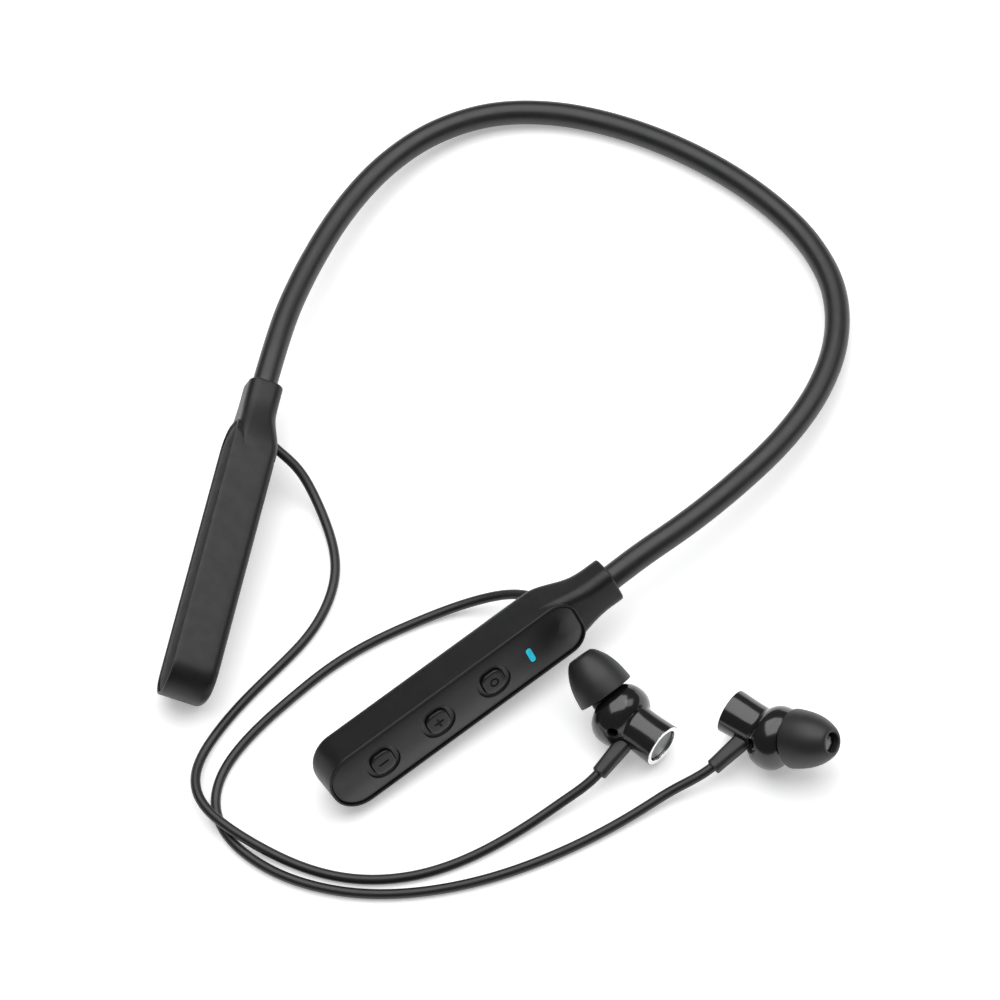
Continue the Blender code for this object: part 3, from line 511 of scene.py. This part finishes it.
def stadium(width, height):
    """A flat-round loop of pairs, centred on the origin, with the width along the first of each pair."""
    steps = 10
    half = 0.5 * height
    middle = 0.5 * (width - height)
    loop = []
    for centre, start in ((middle, -0.5 * math.pi), (-middle, 0.5 * math.pi)):
        for i in range(steps + 1):
            angle = start + math.pi * i / steps
            loop.append((centre + half * math.cos(angle), half * math.sin(angle)))
    return loop


def cut(target, tool):
    """Cuts the tool's shape out of the target at once and removes the tool."""
    change = target.modifiers.new("cut", "BOOLEAN")
    change.object = tool
    change.operation = "DIFFERENCE"
    change.solver = "EXACT"
    change.material_mode = "TRANSFER"
    bpy.context.view_layer.update()
    result = bpy.data.meshes.new_from_object(target.evaluated_get(bpy.context.evaluated_depsgraph_get()))
    target.modifiers.clear()
    old = target.data
    target.data = result
    bpy.data.meshes.remove(old)
    bpy.data.objects.remove(tool, do_unlink=True)
    target.data.shade_smooth()
    target.data.set_sharp_from_angle(angle=math.radians(CRISP_ANGLE))


def smooth_curve(points, count):
    """Points at even spacing on a smooth cubic curve through the given ones."""
    knots = np.array(points, dtype=float)
    steps = np.linalg.norm(np.diff(knots, axis=0), axis=1) ** 0.5
    at = np.concatenate([[0.0], np.cumsum(steps)])
    slopes = np.gradient(knots, at, axis=0, edge_order=2)
    fine = []
    for i in range(len(knots) - 1):
        leaving = (at[i + 1] - at[i]) * slopes[i]
        reaching = (at[i + 1] - at[i]) * slopes[i + 1]
        for t in np.linspace(0.0, 1.0, 24, endpoint=False):
            near_end = 2 * t**3 - 3 * t**2 + 1
            point = near_end * knots[i] + (1 - near_end) * knots[i + 1]
            fine.append(point + (t**3 - 2 * t**2 + t) * leaving + (t**3 - t**2) * reaching)
    fine.append(knots[-1])
    fine = np.array(fine)
    along = np.concatenate([[0.0], np.cumsum(np.linalg.norm(np.diff(fine, axis=0), axis=1))])
    wanted = np.linspace(0.0, along[-1], count)
    return np.stack([np.interp(wanted, along, column) for column in fine.T], axis=1)


def relaxed(path, rounds):
    """The path with its small wiggles evened out and its ends held."""
    path = path.copy()
    for _ in range(rounds):
        path[1:-1] += 0.25 * (path[:-2] + path[2:] - 2 * path[1:-1])
    return path


def settle(piece, body=ROOT_BODY, stands_for=()):
    """Puts a piece on the body it rides on and hides the CAD nodes it stands for."""
    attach(piece, body)
    if stands_for:
        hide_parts(*stands_for)


# ---------------------------------------------------------------- pods


def pod_frame(side):
    """The pod's frame: X to its free end, Z out of its cover. The side is 1 for +X and -1 for -X."""
    neck = POD_NECKS[side]
    along = (POD_TIPS[side] - neck).normalized()
    outward = Vector((side * 1.0, 0.0, 0.0))
    outward = outward - along * outward.dot(along)
    outward.z = 0.0
    outward.normalize()
    upright = Vector((0.0, 0.0, 1.0))
    upright = (upright - along * upright.dot(along)).normalized()
    normal = outward * math.cos(COVER_TILTS[side]) + upright * math.sin(COVER_TILTS[side])
    return axes_matrix(neck + BASE_SHIFT, along, normal)


def exit_matrix():
    """The cord's way out in the pod's frame: X points out of the back wall, slanted to the free end."""
    out = Vector((math.sin(CORD_EXIT_SLANT), 0.0, -math.cos(CORD_EXIT_SLANT)))
    back = neck_section(CORD_EXIT_STATION)[2]
    return axes_matrix(Vector((CORD_EXIT_STATION, 0.0, back)) * MM, out, Vector((1.0, 0.0, 0.0)))


def ease(value, start, end):
    """0 before start, 1 after end and a smooth step between."""
    t = min(max((value - start) / (end - start), 0.0), 1.0)
    return t * t * (3 - 2 * t)


def neck_section(x):
    """Half width, top, bottom and corner radius of the pod's neck at x, in millimetres."""
    grown = ease(x, 4.0, 18.0)
    half_width = 5.0 + 2.38 * grown
    top = 4.15 + 0.15 * grown
    bottom = -4.15 - 2.05 * ease(x, 7.2, 18.0)
    corner = 2.7 - 0.5 * grown
    return half_width, top, bottom, corner


def neck_ring(x, shrink=0.0):
    """A rounded rectangle of the neck's outside, drawn in by shrink."""
    steps = 10
    half_width, top, bottom, corner = neck_section(x)
    half_width -= shrink
    top -= shrink
    bottom += shrink
    corner = max(corner - shrink, 0.3)
    corners = (
        (half_width - corner, top - corner, 0.0),
        (-half_width + corner, top - corner, 0.5 * math.pi),
        (-half_width + corner, bottom + corner, math.pi),
        (half_width - corner, bottom + corner, 1.5 * math.pi),
    )
    ring = []
    for cy, cz, start in corners:
        for i in range(steps + 1):
            angle = start + 0.5 * math.pi * i / steps
            ring.append((x, cy + corner * math.cos(angle), cz + corner * math.sin(angle)))
    return ring


def round_ring(x, radius, like):
    """A round ring with a point for each point of the ring it is like, at the same turn."""
    ring = []
    for _, y, z in like:
        angle = math.atan2(z, y)
        ring.append((x, radius * math.cos(angle), radius * math.sin(angle)))
    return ring


def exit_cutter(frame):
    """The cutter of the cord's hole, with a little room round the gland."""
    return rod("exit_cut", -4.0, 3.0, GLAND_RADIUS + 0.1, place=frame @ exit_matrix())


def make_pod_neck(name, frame, finish):
    """The sleeve that grips the tube and swells into the pod's body, hollow all the way."""
    mouth = neck_ring(0.0, SLEEVE_ROUNDING)
    bore = ((SLEEVE_DEPTH, 0.0), (0.5, 0.0), (0.12, 0.06), (0.0, 0.2))
    rings = [round_ring(x, SLEEVE_BORE + flare, mouth) for x, flare in bore]
    for i in range(6):
        turn = 0.5 * math.pi * (1 - i / 5)
        back = SLEEVE_ROUNDING * (1 - math.sin(turn))
        rings.append(neck_ring(back, SLEEVE_ROUNDING * (1 - math.cos(turn))))
    rings += [neck_ring(x) for x in np.linspace(0.9, NECK_END, 44)]
    rings += [round_ring(x, NECK_BORE, mouth) for x in (NECK_END, SLEEVE_DEPTH + 0.2)]
    points = [Vector(p) * MM for ring in rings for p in ring]
    faces = ring_faces(len(rings), len(mouth), closed=True)
    neck = mesh_object(name, points, faces, finish, frame)
    cut(neck, exit_cutter(frame))
    return neck


def tray_levels():
    """(height, inset) pairs up the tray's outside, over its lip and down inside it."""
    levels = []
    for i in range(7):
        turn = 0.5 * math.pi * i / 6
        height = POD_BOTTOM + BACK_ROUNDING * (1 - math.cos(turn))
        levels.append((height, BACK_ROUNDING * (1 - math.sin(turn))))
    levels += [(height, 0.0) for height in (-2.5, -1.2, 0.0, 1.5, 2.3, 3.1, 3.8, 4.5)]
    levels += [(4.66, 0.02), (4.78, 0.08), (4.84, 0.18), (4.86, 0.32)]
    levels += [(4.84, 0.44), (4.77, 0.52), (4.62, 0.56), (3.3, 0.6)]
    levels += [(3.3, TRAY_WALL), (POD_BOTTOM + 1.0, TRAY_WALL)]
    return levels


def tray_ring(height, inset):
    """The tray's outline at this height. Low down its front end stands back, inside the neck."""
    low = 1.0 - ease(height, 1.5, 3.8)
    start = 11.05 + 2.0 * low
    start_radius = max(5.4 + 0.8 * low - inset, 0.4)
    end_radius = max(POD_END_RADIUS - inset, 0.4)
    if inset > 1.0:
        start = 15.5
    loop = outline(start + inset, POD_LENGTH - inset, POD_HALF_WIDTH - inset, start_radius, end_radius)
    return [(x, y, height) for x, y in loop]


def make_pod_tray(name, frame, finish):
    """The pod's open shell, with the raised lip round its cover."""
    tray = loft(name, [tray_ring(*level) for level in tray_levels()], finish, frame)
    cut(tray, exit_cutter(frame))
    return tray


def make_cover(name, frame, finish):
    """The crowned inlay inside the lip."""
    levels = [(3.4, 0.0), (4.2, 0.0), (4.32, 0.04), (4.4, 0.12)]
    for inset in np.linspace(0.3, 6.3, 16):
        sag = (COVER_HALF_WIDTH - inset) ** 2 / (2 * COVER_CROWN_RADIUS)
        levels.append((COVER_MIDDLE_HEIGHT - sag, inset))
    rings = []
    for height, inset in levels:
        start_radius = max(4.85 - inset, 0.25)
        end_radius = max(6.4 - inset, 0.25)
        loop = outline(
            COVER_START + inset, COVER_END - inset, COVER_HALF_WIDTH - inset, start_radius, end_radius
        )
        rings.append([(x, y, height) for x, y in loop])
    return loft(name, rings, finish, frame, CROWN_CRISP_ANGLE)


def prism(name, loop, levels, finish=None, place=None):
    """A body with an outline in X and Y. Levels are (height, shrink), the shrink drawing it to its middle."""
    cx = 0.5 * (min(p[0] for p in loop) + max(p[0] for p in loop))
    cy = 0.5 * (min(p[1] for p in loop) + max(p[1] for p in loop))
    reach = max(math.hypot(x - cx, y - cy) for x, y in loop)
    rings = []
    for height, shrink in levels:
        k = 1.0 - shrink / reach
        rings.append([(cx + (x - cx) * k, cy + (y - cy) * k, height) for x, y in loop])
    return loft(name, rings, finish, place)


def square_loop(half, corner, steps=8):
    """A square centred on the origin with rounded corners."""
    return outline(-half, half, half, corner, corner, steps, sides=3)


def make_key(label, station, frame, finishes):
    """One key: a crowned cap with its engraved mark, on the flange that keeps it under the cover. The mark's
    groove faces get a darker finish, a painted shade.
    """
    place = frame @ Matrix.Translation((station * MM, 0.0, 0.0))
    flange = ((KEY_FLANGE_BOTTOM, 4.0, 2.0), (KEY_FLANGE_TOP, 4.0, 2.0), (KEY_FLANGE_TOP, 2.74, 1.9))
    crown = (
        (4.8, 2.74, 1.9), (5.02, 2.7, 1.86), (5.16, 2.6, 1.76), (5.26, 2.42, 1.6),
        (5.31, 2.1, 1.3), (5.34, 1.6, 0.95), (5.35, 0.8, 0.4),
    )
    rings = []
    for height, half, corner in flange + crown:
        rings.append([(x, y, height) for x, y in square_loop(half, corner)])
    key = loft(f"key_{label}", rings, finishes["key_black"], place, CROWN_CRISP_ANGLE)
    # The mark's groove faces take a darker finish: painted shade in the engraved grooves
    key.data.materials.append(finishes["mark_painted_shade"])
    for tool in key_mark(label, place, finishes["mark_painted_shade"]):
        cut(key, tool)
    return key


def key_mark(label, place, finish):
    """Cutters of the mark: a bar, a cross or a ring. They carry the darker finish, painted shade, onto the
    groove faces they cut.
    """
    depth = ((MARK_FLOOR, 0.0), (6.0, 0.0))
    bar = outline(-1.3, 1.3, 0.27, 0.25, 0.25, 4, sides=2)
    if label == "minus":
        return [prism("mark", bar, depth, finish, place)]
    if label == "plus":
        arm = outline(-1.25, 1.25, 0.27, 0.25, 0.25, 4, sides=2)
        across = [(-y, x) for x, y in arm]
        return [prism("mark", arm, depth, finish, place), prism("mark", across, depth, finish, place)]
    profile = ((0.0, 0.68), (0.0, 1.16), (1.0, 1.16), (1.0, 0.68))
    upright = Matrix.Translation((0.0, 0.0, MARK_FLOOR * MM)) @ Matrix.Rotation(-0.5 * math.pi, 4, "Y")
    return [turned("mark", profile, finish, place @ upright, segments=48)]


def cut_face(cover, frame):
    """The wells and holes for the keys and the slot for the light."""
    through = ((HOLE_BOTTOM, 0.0), (HOLE_TOP, 0.0))
    bowl = ((4.42, 3.5), (4.45, 3.8), (4.55, 3.98), (4.72, 4.08), (4.95, 4.14), (5.1, 4.2), (HOLE_TOP, 4.4))
    for station in BUTTON_STATIONS.values():
        place = frame @ Matrix.Translation((station * MM, 0.0, 0.0))
        rings = [[(x, y, height) for x, y in circle_loop(radius)] for height, radius in bowl]
        cut(cover, loft("well", rings, place=place))
        cut(cover, prism("hole", square_loop(2.96, 2.1), through, place=place))
    cut(cover, prism("slot", led_loop(0.05), through, place=frame))


def led_loop(margin):
    """The light's outline, with its long side across the pod, grown by the margin."""
    half_length = LED_HALF_LENGTH + margin
    half_width = LED_HALF_WIDTH + margin
    corner = half_width - 0.02
    start = LED_STATION - half_width
    end = LED_STATION + half_width
    return outline(start, end, half_length, corner, corner, 8, sides=2)


def cut_port(tray, frame):
    """The mouth of the charging socket, in the wall that faces the floor."""
    loop = [(PORT_STATION + x, PORT_MIDDLE + z) for x, z in stadium(PORT_WIDTH, PORT_HEIGHT)]
    turned_frame = frame @ Matrix.Rotation(0.5 * math.pi, 4, "X")
    cut(tray, prism("port_cut", loop, ((-9.0, 0.0), (-4.7, 0.0)), place=turned_frame))


def make_gland(name, frame, finish):
    """The grommet that holds the cord where it leaves the pod."""
    profile = (
        (-GLAND_DEPTH, GLAND_BORE), (-GLAND_DEPTH, GLAND_RADIUS), (-0.1, GLAND_RADIUS),
        (0.0, GLAND_RADIUS - 0.1), (0.0, GLAND_BORE),
    )
    return turned(name, profile, finish, frame @ exit_matrix())


def make_pods(finishes):
    """Both pods, then the control pod's light and keys."""
    control = pod_frame(1)
    for label, frame in (("control", control), ("battery", pod_frame(-1))):
        tray = make_pod_tray(f"{label}_tray", frame, finishes["soft_black"])
        neck = make_pod_neck(f"{label}_sleeve", frame, finishes["soft_black"])
        finish = finishes["cover_black" if label == "control" else "strip_black"]
        cover = make_cover(f"{label}_cover", frame, finish)
        if label == "control":
            cut_port(tray, frame)
            cut_face(cover, frame)
        gland = make_gland(f"{label}_gland", frame, finishes["cord_silicone"])
        settle(tray, stands_for=[f"{label}_pod_shell"])
        settle(neck)
        settle(cover, stands_for=[f"{label}_pod_cover"])
        settle(gland, stands_for=[f"{label}_cord_gland"])
    light_levels = ((0.7, 0.0), (5.1, 0.0), (5.17, 0.06), (5.2, 0.16))
    light = prism("status_light", led_loop(0.0), light_levels, finishes["cyan"], control)
    settle(light, stands_for=["light_pipe"])
    for label, station in BUTTON_STATIONS.items():
        key = make_key(label, station, control, finishes)
        settle(key, f"key_{label}", [f"button_{label}"])


# ---------------------------------------------------------------- neckband and cords


def half_route(side, inset):
    """The tube's route on one side, from inside its pod to the middle of the back. Near the pod it is
    drawn over to that pod's own mouth.
    """
    neck = POD_NECKS[side]
    along = (POD_TIPS[side] - neck).normalized()
    route = [Vector((side * x, y, z)) * MM for x, y, z in TUBE_HALF_ROUTE]
    moved = neck - route[0]
    points = [neck + along * inset, neck + along * 0.5 * inset]
    for i, point in enumerate(route):
        points.append(point + moved * max(1.0 - 0.25 * i, 0.0))
    return points


def neck_path(count):
    """The tube's centre line from the battery pod to the control pod, run on into both pods."""
    whole = half_route(-1, TUBE_INSET) + half_route(1, TUBE_INSET)[::-1]
    shift = np.array(BASE_SHIFT)
    return relaxed(smooth_curve(whole, count), 30) + shift


def ring_frames(path):
    """For each point of a path: the point, and two unit vectors across it, the second one mostly up."""
    frames = []
    for i, point in enumerate(path):
        ahead = Vector(path[min(i + 1, len(path) - 1)]) - Vector(path[max(i - 1, 0)])
        ahead.normalize()
        across = ahead.cross(Vector((0.0, 0.0, 1.0))).normalized()
        frames.append((Vector(point), across, across.cross(ahead)))
    return frames


def make_tube(finish):
    """The hollow neck tube."""
    frames = ring_frames(neck_path(400))
    sides = 40
    turns = [2 * math.pi * i / sides for i in range(sides)]
    points = []
    for radius in (TUBE_RADIUS, TUBE_BORE_RADIUS):
        for point, across, up in frames:
            points += [point + across * radius * math.cos(t) + up * radius * math.sin(t) for t in turns]
    rings = len(frames)
    outer = ring_faces(rings, sides)
    inner = [tuple(i + rings * sides for i in face) for face in outer]
    ends = []
    for start in (0, (rings - 1) * sides):
        for j in range(sides):
            k = (j + 1) % sides
            ends.append((start + j, start + k, start + k + rings * sides, start + j + rings * sides))
    tube = mesh_object("neck_tube", points, outer + inner + ends, finish)
    settle(tube, stands_for=["neckband_tube"])


def cord_route(side, route, bud):
    """From inside the gland, straight out, through the route's points and straight into the boot."""
    way_out = pod_frame(side) @ exit_matrix()
    way_in = bud_frame(bud) @ boot_matrix(bud)
    start = [way_out @ Vector((x * MM, 0.0, 0.0)) for x in (-1.2, 0.5, 2.5)]
    end = [way_in @ Vector((x * MM, 0.0, 0.0)) for x in (BOOT_END + 3.0, BOOT_END + 0.5, BOOT_END - 2.0)]
    middle = [Vector(p) * MM + BASE_SHIFT for p in route]
    return start + middle + end


def make_cord(name, points, finish, node):
    """A free cord in place of a CAD cord node."""
    path = relaxed(smooth_curve(points, CORD_POINTS), 12)
    curve = bpy.data.curves.new(name, "CURVE")
    curve.dimensions = "3D"
    curve.bevel_depth = CORD_RADIUS
    curve.bevel_resolution = 8
    curve.use_fill_caps = True
    spline = curve.splines.new("POLY")
    spline.points.add(len(path) - 1)
    for target, point in zip(spline.points, path):
        target.co = (*point, 1.0)
    spline.use_smooth = True
    curve.materials.append(finish)
    made = bpy.data.objects.new(name, curve)
    bpy.context.scene.collection.objects.link(made)
    settle(made, stands_for=[node])


# ---------------------------------------------------------------- ear buds


def bud_frame(facts):
    """The bud's frame: X level along the barrel, Z up."""
    heading = math.radians(facts["heading"])
    along = Vector((math.cos(heading), math.sin(heading), 0.0))
    return axes_matrix(Vector(facts["place"]) * MM + BASE_SHIFT, along, Vector((0.0, 0.0, 1.0)))


def nozzle_matrix(side):
    """The nozzle's frame in the bud's: X points out of the nozzle."""
    out = Vector((-1.0, side * math.tan(NOZZLE_SIDE), math.tan(NOZZLE_UP)))
    return axes_matrix(Vector((0.0, 0.0, NOZZLE_LIFT * MM)), out, Vector((0.0, 0.0, 1.0)))


def boot_matrix(facts):
    """The cord boot's frame in the bud's: X points from the barrel's axis to the cord."""
    swing = math.radians(facts["boot_swing"])
    out = Vector((math.sin(swing), -facts["side"] * math.cos(swing), -math.tan(BOOT_DROP)))
    return axes_matrix(Vector((BOOT_STATION * MM, 0.0, 0.0)), out, Vector((0.0, 0.0, 1.0)))


def arc(points, count):
    """A smooth run of (x, radius) pairs through the given ones."""
    return [tuple(p) for p in smooth_curve(points, count)]


def make_front_shell(name, place, finish):
    """The front dome, with the step that fits into the rear shell."""
    outside = (
        (-SHELL_GAP, BODY_RADIUS), (-1.3, 7.36), (-2.4, 6.95), (-3.3, 6.3),
        (-3.95, 5.45), (-4.25, 4.6), (-4.32, 3.6),
    )
    inside = [
        (-4.32, 1.6), (-3.3, 1.6), (-3.2, 5.0), (-2.2, 6.3), (-0.6, 6.7),
        (0.45, 6.7), (0.45, 7.22), (-SHELL_GAP, 7.22),
    ]
    return turned(name, arc(outside, 34) + inside, finish, place, 120)


def make_rear_shell(name, place, side, finish):
    """The rear dome and the barrel in one, with the small vent beside the boot."""
    dome = (
        (SHELL_GAP, BODY_RADIUS), (1.3, 7.36), (2.4, 6.98), (3.3, 6.38),
        (3.9, 5.75), (4.2, 5.3), (4.42, 5.06),
    )
    barrel = ((4.7, 4.98), (6.0, 4.95), (7.6, 4.98), (9.2, 5.05), (10.9, 5.14), (BARREL_END - 0.15, 5.2))
    inside = [
        (BARREL_END - 0.04, 5.18), (BARREL_END, 5.12), (BARREL_END, 5.06), (RING_SEAT, 5.06),
        (RING_SEAT, BARREL_BORE), (3.4, BARREL_BORE), (3.0, 5.0), (2.0, 6.3), (0.7, 6.8),
        (0.55, 7.28), (SHELL_GAP, 7.28),
    ]
    shell = turned(name, arc(dome, 34) + arc(barrel, 30) + inside, finish, place, 120)
    out = Vector((0.0, -0.82 * side, 0.57))
    vent = axes_matrix(Vector((VENT_STATION * MM, 0.0, 0.0)), out, Vector((1.0, 0.0, 0.0)))
    cut(shell, rod("vent_cut", 5.0, 9.0, VENT_RADIUS, place=place @ vent))
    return shell


def make_collar(name, place, finish):
    """The matte collar and nozzle that the tip is pushed over."""
    collar = ((2.2, 4.3), (4.9, 4.22), (5.15, 4.15), (5.28, 4.0), (5.32, 3.8), (5.32, 3.0), (5.5, 2.5))
    nozzle = (
        (6.0, NOZZLE_RADIUS), (11.6, NOZZLE_RADIUS), (11.8, 2.42), (12.5, 2.42), (12.8, NOZZLE_RADIUS),
        (NOZZLE_END, NOZZLE_RADIUS), (NOZZLE_END, NOZZLE_BORE), (2.2, NOZZLE_BORE),
    )
    return turned(name, collar + nozzle, finish, place, 72)


def make_tip(name, place, finish):
    """The ear tip: a domed skirt, open behind, on the sleeve that grips the nozzle."""
    outer = (
        (5.72, 6.7), (7.9, 6.5), (10.2, 6.08), (12.3, 5.38), (14.0, 4.5), (15.1, 3.72), (15.55, 3.28),
    )
    lip = rounded_profile(((15.8, 3.0, 0.12), (15.8, 2.3, 0.2), (14.4, 2.2, 0.0)), 4)
    sleeve = [(14.1, 2.44), (6.3, 2.44), (6.1, 2.6), (6.1, 3.5), (6.3, 3.7), (6.9, 3.7), (7.1, 3.45)]
    inner = ((13.0, 3.5), (12.2, 4.6), (10.2, 5.5), (7.9, 6.02), (5.72, 6.3))
    rim = [(5.6, 6.38), (5.56, 6.5), (5.6, 6.62)]
    return turned(name, arc(outer, 40) + lip + sleeve + arc(inner, 24) + rim, finish, place, 120)


def make_end_ring(name, place, finish):
    """The bright ring, set into the barrel's end and standing a little out of it."""
    back = RING_SEAT + 0.06
    front = BARREL_END + 0.08
    corners = (
        (back, 4.3, 0.0), (back, 5.03, 0.05), (front, 5.03, 0.1), (front, 4.0, 0.1), (back, 3.98, 0.0),
    )
    return turned(name, rounded_profile(corners), finish, place, 120)


def make_end_disc(name, place, finish):
    """The satin disc, standing back inside the ring."""
    rings = []
    for x, radius in ((10.6, 3.76), (11.62, 3.76), (11.7, 3.7), (11.73, 3.56), (11.73, 1.8)):
        rings.append([(x, y, z) for y, z in circle_loop(radius, 96)])
    return loft(name, rings, finish, place)


def make_screen(name, place, finish):
    """A round woven screen of fine crossing wires."""
    pitch = 0.3
    reach = 1.95
    wire = 0.055
    station = NOZZLE_END + 0.42
    weave = 0.035
    count = 12
    points = []
    faces = []
    for turn in (0, 1):
        for k in range(-6, 7):
            offset = k * pitch
            half = math.sqrt(reach**2 - offset**2)
            base = len(points)
            for i in range(count + 1):
                along = -half + 2 * half * i / count
                lift = station + weave * math.sin(math.pi * (along / pitch + k + turn))
                for side in range(4):
                    angle = 0.5 * math.pi * side
                    across = offset + wire * math.cos(angle)
                    height = lift + wire * math.sin(angle)
                    flat = (along, across) if turn == 0 else (across, along)
                    points.append(Vector((height, *flat)) * MM)
            faces += [tuple(base + i for i in face) for face in ring_faces(count + 1, 4)]
            faces.append(tuple(base + i for i in range(4)))
            faces.append(tuple(base + count * 4 + i for i in range(4)))
    return mesh_object(name, points, faces, finish, place)


def boot_ring(x, half, roundness):
    """A square section with rounded corners, round when roundness is nearly 1."""
    return [(x, y, z) for y, z in square_loop(half, half * roundness * 0.999, 7)]


def make_boot(name, place, finish):
    """The strain relief: squarish at the barrel, a little slimmer and rounder at the cord."""
    rings = [boot_ring(3.4, 1.8, 0.5)]
    for x in np.linspace(3.6, BOOT_END - 0.3, 30):
        taper = ease(x, 5.0, 13.0)
        linear = min(max((x - 5.5) / (BOOT_END - 5.5), 0.0), 1.0)
        rings.append(boot_ring(x, 1.84 - 0.12 * linear, 0.5 + 0.25 * taper))
    for back, half in ((0.14, 1.71), (0.04, 1.65), (0.0, 1.54), (0.0, 1.3), (0.08, 1.24), (3.0, 1.22)):
        rings.append(boot_ring(BOOT_END - back, half, 0.98))
    return loft(name, rings, finish, place)


def make_bud(label, facts, finishes):
    """All the pieces of one ear bud. Its tip rides on its own body."""
    frame = bud_frame(facts)
    nozzle = frame @ nozzle_matrix(facts["side"])
    boot = frame @ boot_matrix(facts)
    front = make_front_shell(f"{label}_front", frame, finishes["gloss_black"])
    settle(front, stands_for=[f"{label}_bud_front_shell"])
    collar = make_collar(f"{label}_collar", nozzle, finishes["collar_black"])
    settle(collar)
    rear = make_rear_shell(f"{label}_rear", frame, facts["side"], finishes["gloss_black"])
    settle(rear, stands_for=[f"{label}_bud_rear_shell"])
    tip = make_tip(f"{label}_tip_skirt", nozzle, finishes["tip_silicone"])
    settle(tip, f"{label}_tip", [f"{label}_ear_tip"])
    ring = make_end_ring(f"{label}_ring", frame, finishes["chrome"])
    settle(ring, stands_for=[f"{label}_end_ring"])
    disc = make_end_disc(f"{label}_disc", frame, finishes["satin_grey"])
    settle(disc, stands_for=[f"{label}_end_disc"])
    screen = make_screen(f"{label}_screen", nozzle, finishes["mesh_steel"])
    settle(screen, stands_for=[f"{label}_nozzle_screen"])
    relief = make_boot(f"{label}_boot", boot, finishes["boot_silicone"])
    settle(relief, stands_for=[f"{label}_cord_boot"])


# ---------------------------------------------------------------- carried-over nodes and the studio


def paint_nodes(frame, finishes):
    """Gives each CAD node that is still shown its own procedural finish."""
    slots = {part["node"]: part["material_slot"] for part in frame["record"]["subparts"]}
    for name, node in frame["nodes"].items():
        finish = finishes[slots[name]]
        node.data.materials.clear()
        node.data.materials.append(finish)


def square_light(name, place, side, power):
    """A square area light that faces the origin."""
    data = bpy.data.lights.new(name, "AREA")
    data.shape = "SQUARE"
    data.size = side
    data.energy = power
    light = bpy.data.objects.new(name, data)
    bpy.context.scene.collection.objects.link(light)
    back = Vector(place).normalized()
    right = Vector((0.0, 0.0, 1.0)).cross(back).normalized()
    matrix = Matrix((right, back.cross(right), back)).transposed().to_4x4()
    matrix.translation = place
    light.matrix_world = matrix


def make_camera():
    """The photo's viewpoint."""
    data = bpy.data.cameras.new("camera")
    data.lens = CAMERA_LENS
    data.sensor_width = CAMERA_SENSOR
    data.clip_start = 0.01
    data.clip_end = 20.0
    camera = bpy.data.objects.new("camera", data)
    bpy.context.scene.collection.objects.link(camera)
    back = CAMERA_RIGHT.cross(CAMERA_UP).normalized()
    matrix = Matrix((CAMERA_RIGHT, CAMERA_UP, back)).transposed().to_4x4()
    matrix.translation = CAMERA_PLACE + BASE_SHIFT
    camera.matrix_world = matrix
    bpy.context.scene.camera = camera


def make_studio():
    """A pale floor that glows a little, an even sky and two soft lights."""
    floor_finish = Shader("floor_paper", (0.92, 0.92, 0.92), 0.9, specular=0.1)
    floor_finish.vary_roughness(floor_finish.noise(30.0), 0.85, 0.95)
    floor_finish.shader.inputs["Emission Color"].default_value = (1.0, 1.0, 1.0, 1.0)
    floor_finish.shader.inputs["Emission Strength"].default_value = FLOOR_GLOW
    corners = ((-1.0, -1.0), (1.0, -1.0), (1.0, 1.0), (-1.0, 1.0))
    points = [(FLOOR_HALF * x, FLOOR_HALF * y, 0.0) for x, y in corners]
    floor = mesh_object("floor", points, [(0, 1, 2, 3)], floor_finish.material)
    world = bpy.data.worlds.new("studio")
    world.use_nodes = True
    background = world.node_tree.nodes["Background"]
    background.inputs["Color"].default_value = WORLD_COLOUR
    background.inputs["Strength"].default_value = WORLD_STRENGTH
    bpy.context.scene.world = world
    bpy.context.scene.view_settings.view_transform = "Standard"
    square_light("overhead", OVERHEAD_PLACE, OVERHEAD_SIDE, OVERHEAD_POWER)
    square_light("back_box", BACK_PLACE, BACK_SIDE, BACK_POWER)


def main():
    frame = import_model()
    finishes = make_materials()
    make_camera()
    make_studio()
    make_pods(finishes)
    make_tube(finishes["silicone"])
    for label, facts in BUDS.items():
        make_bud(label, facts, finishes)
    cord_finish = finishes["cord_silicone"]
    make_cord("battery_lead", cord_route(-1, BATTERY_CORD_ROUTE, BUDS["left"]), cord_finish, "battery_cord")
    make_cord("control_lead", cord_route(1, CONTROL_CORD_ROUTE, BUDS["right"]), cord_finish, "control_cord")
    paint_nodes(frame, finishes)


main()
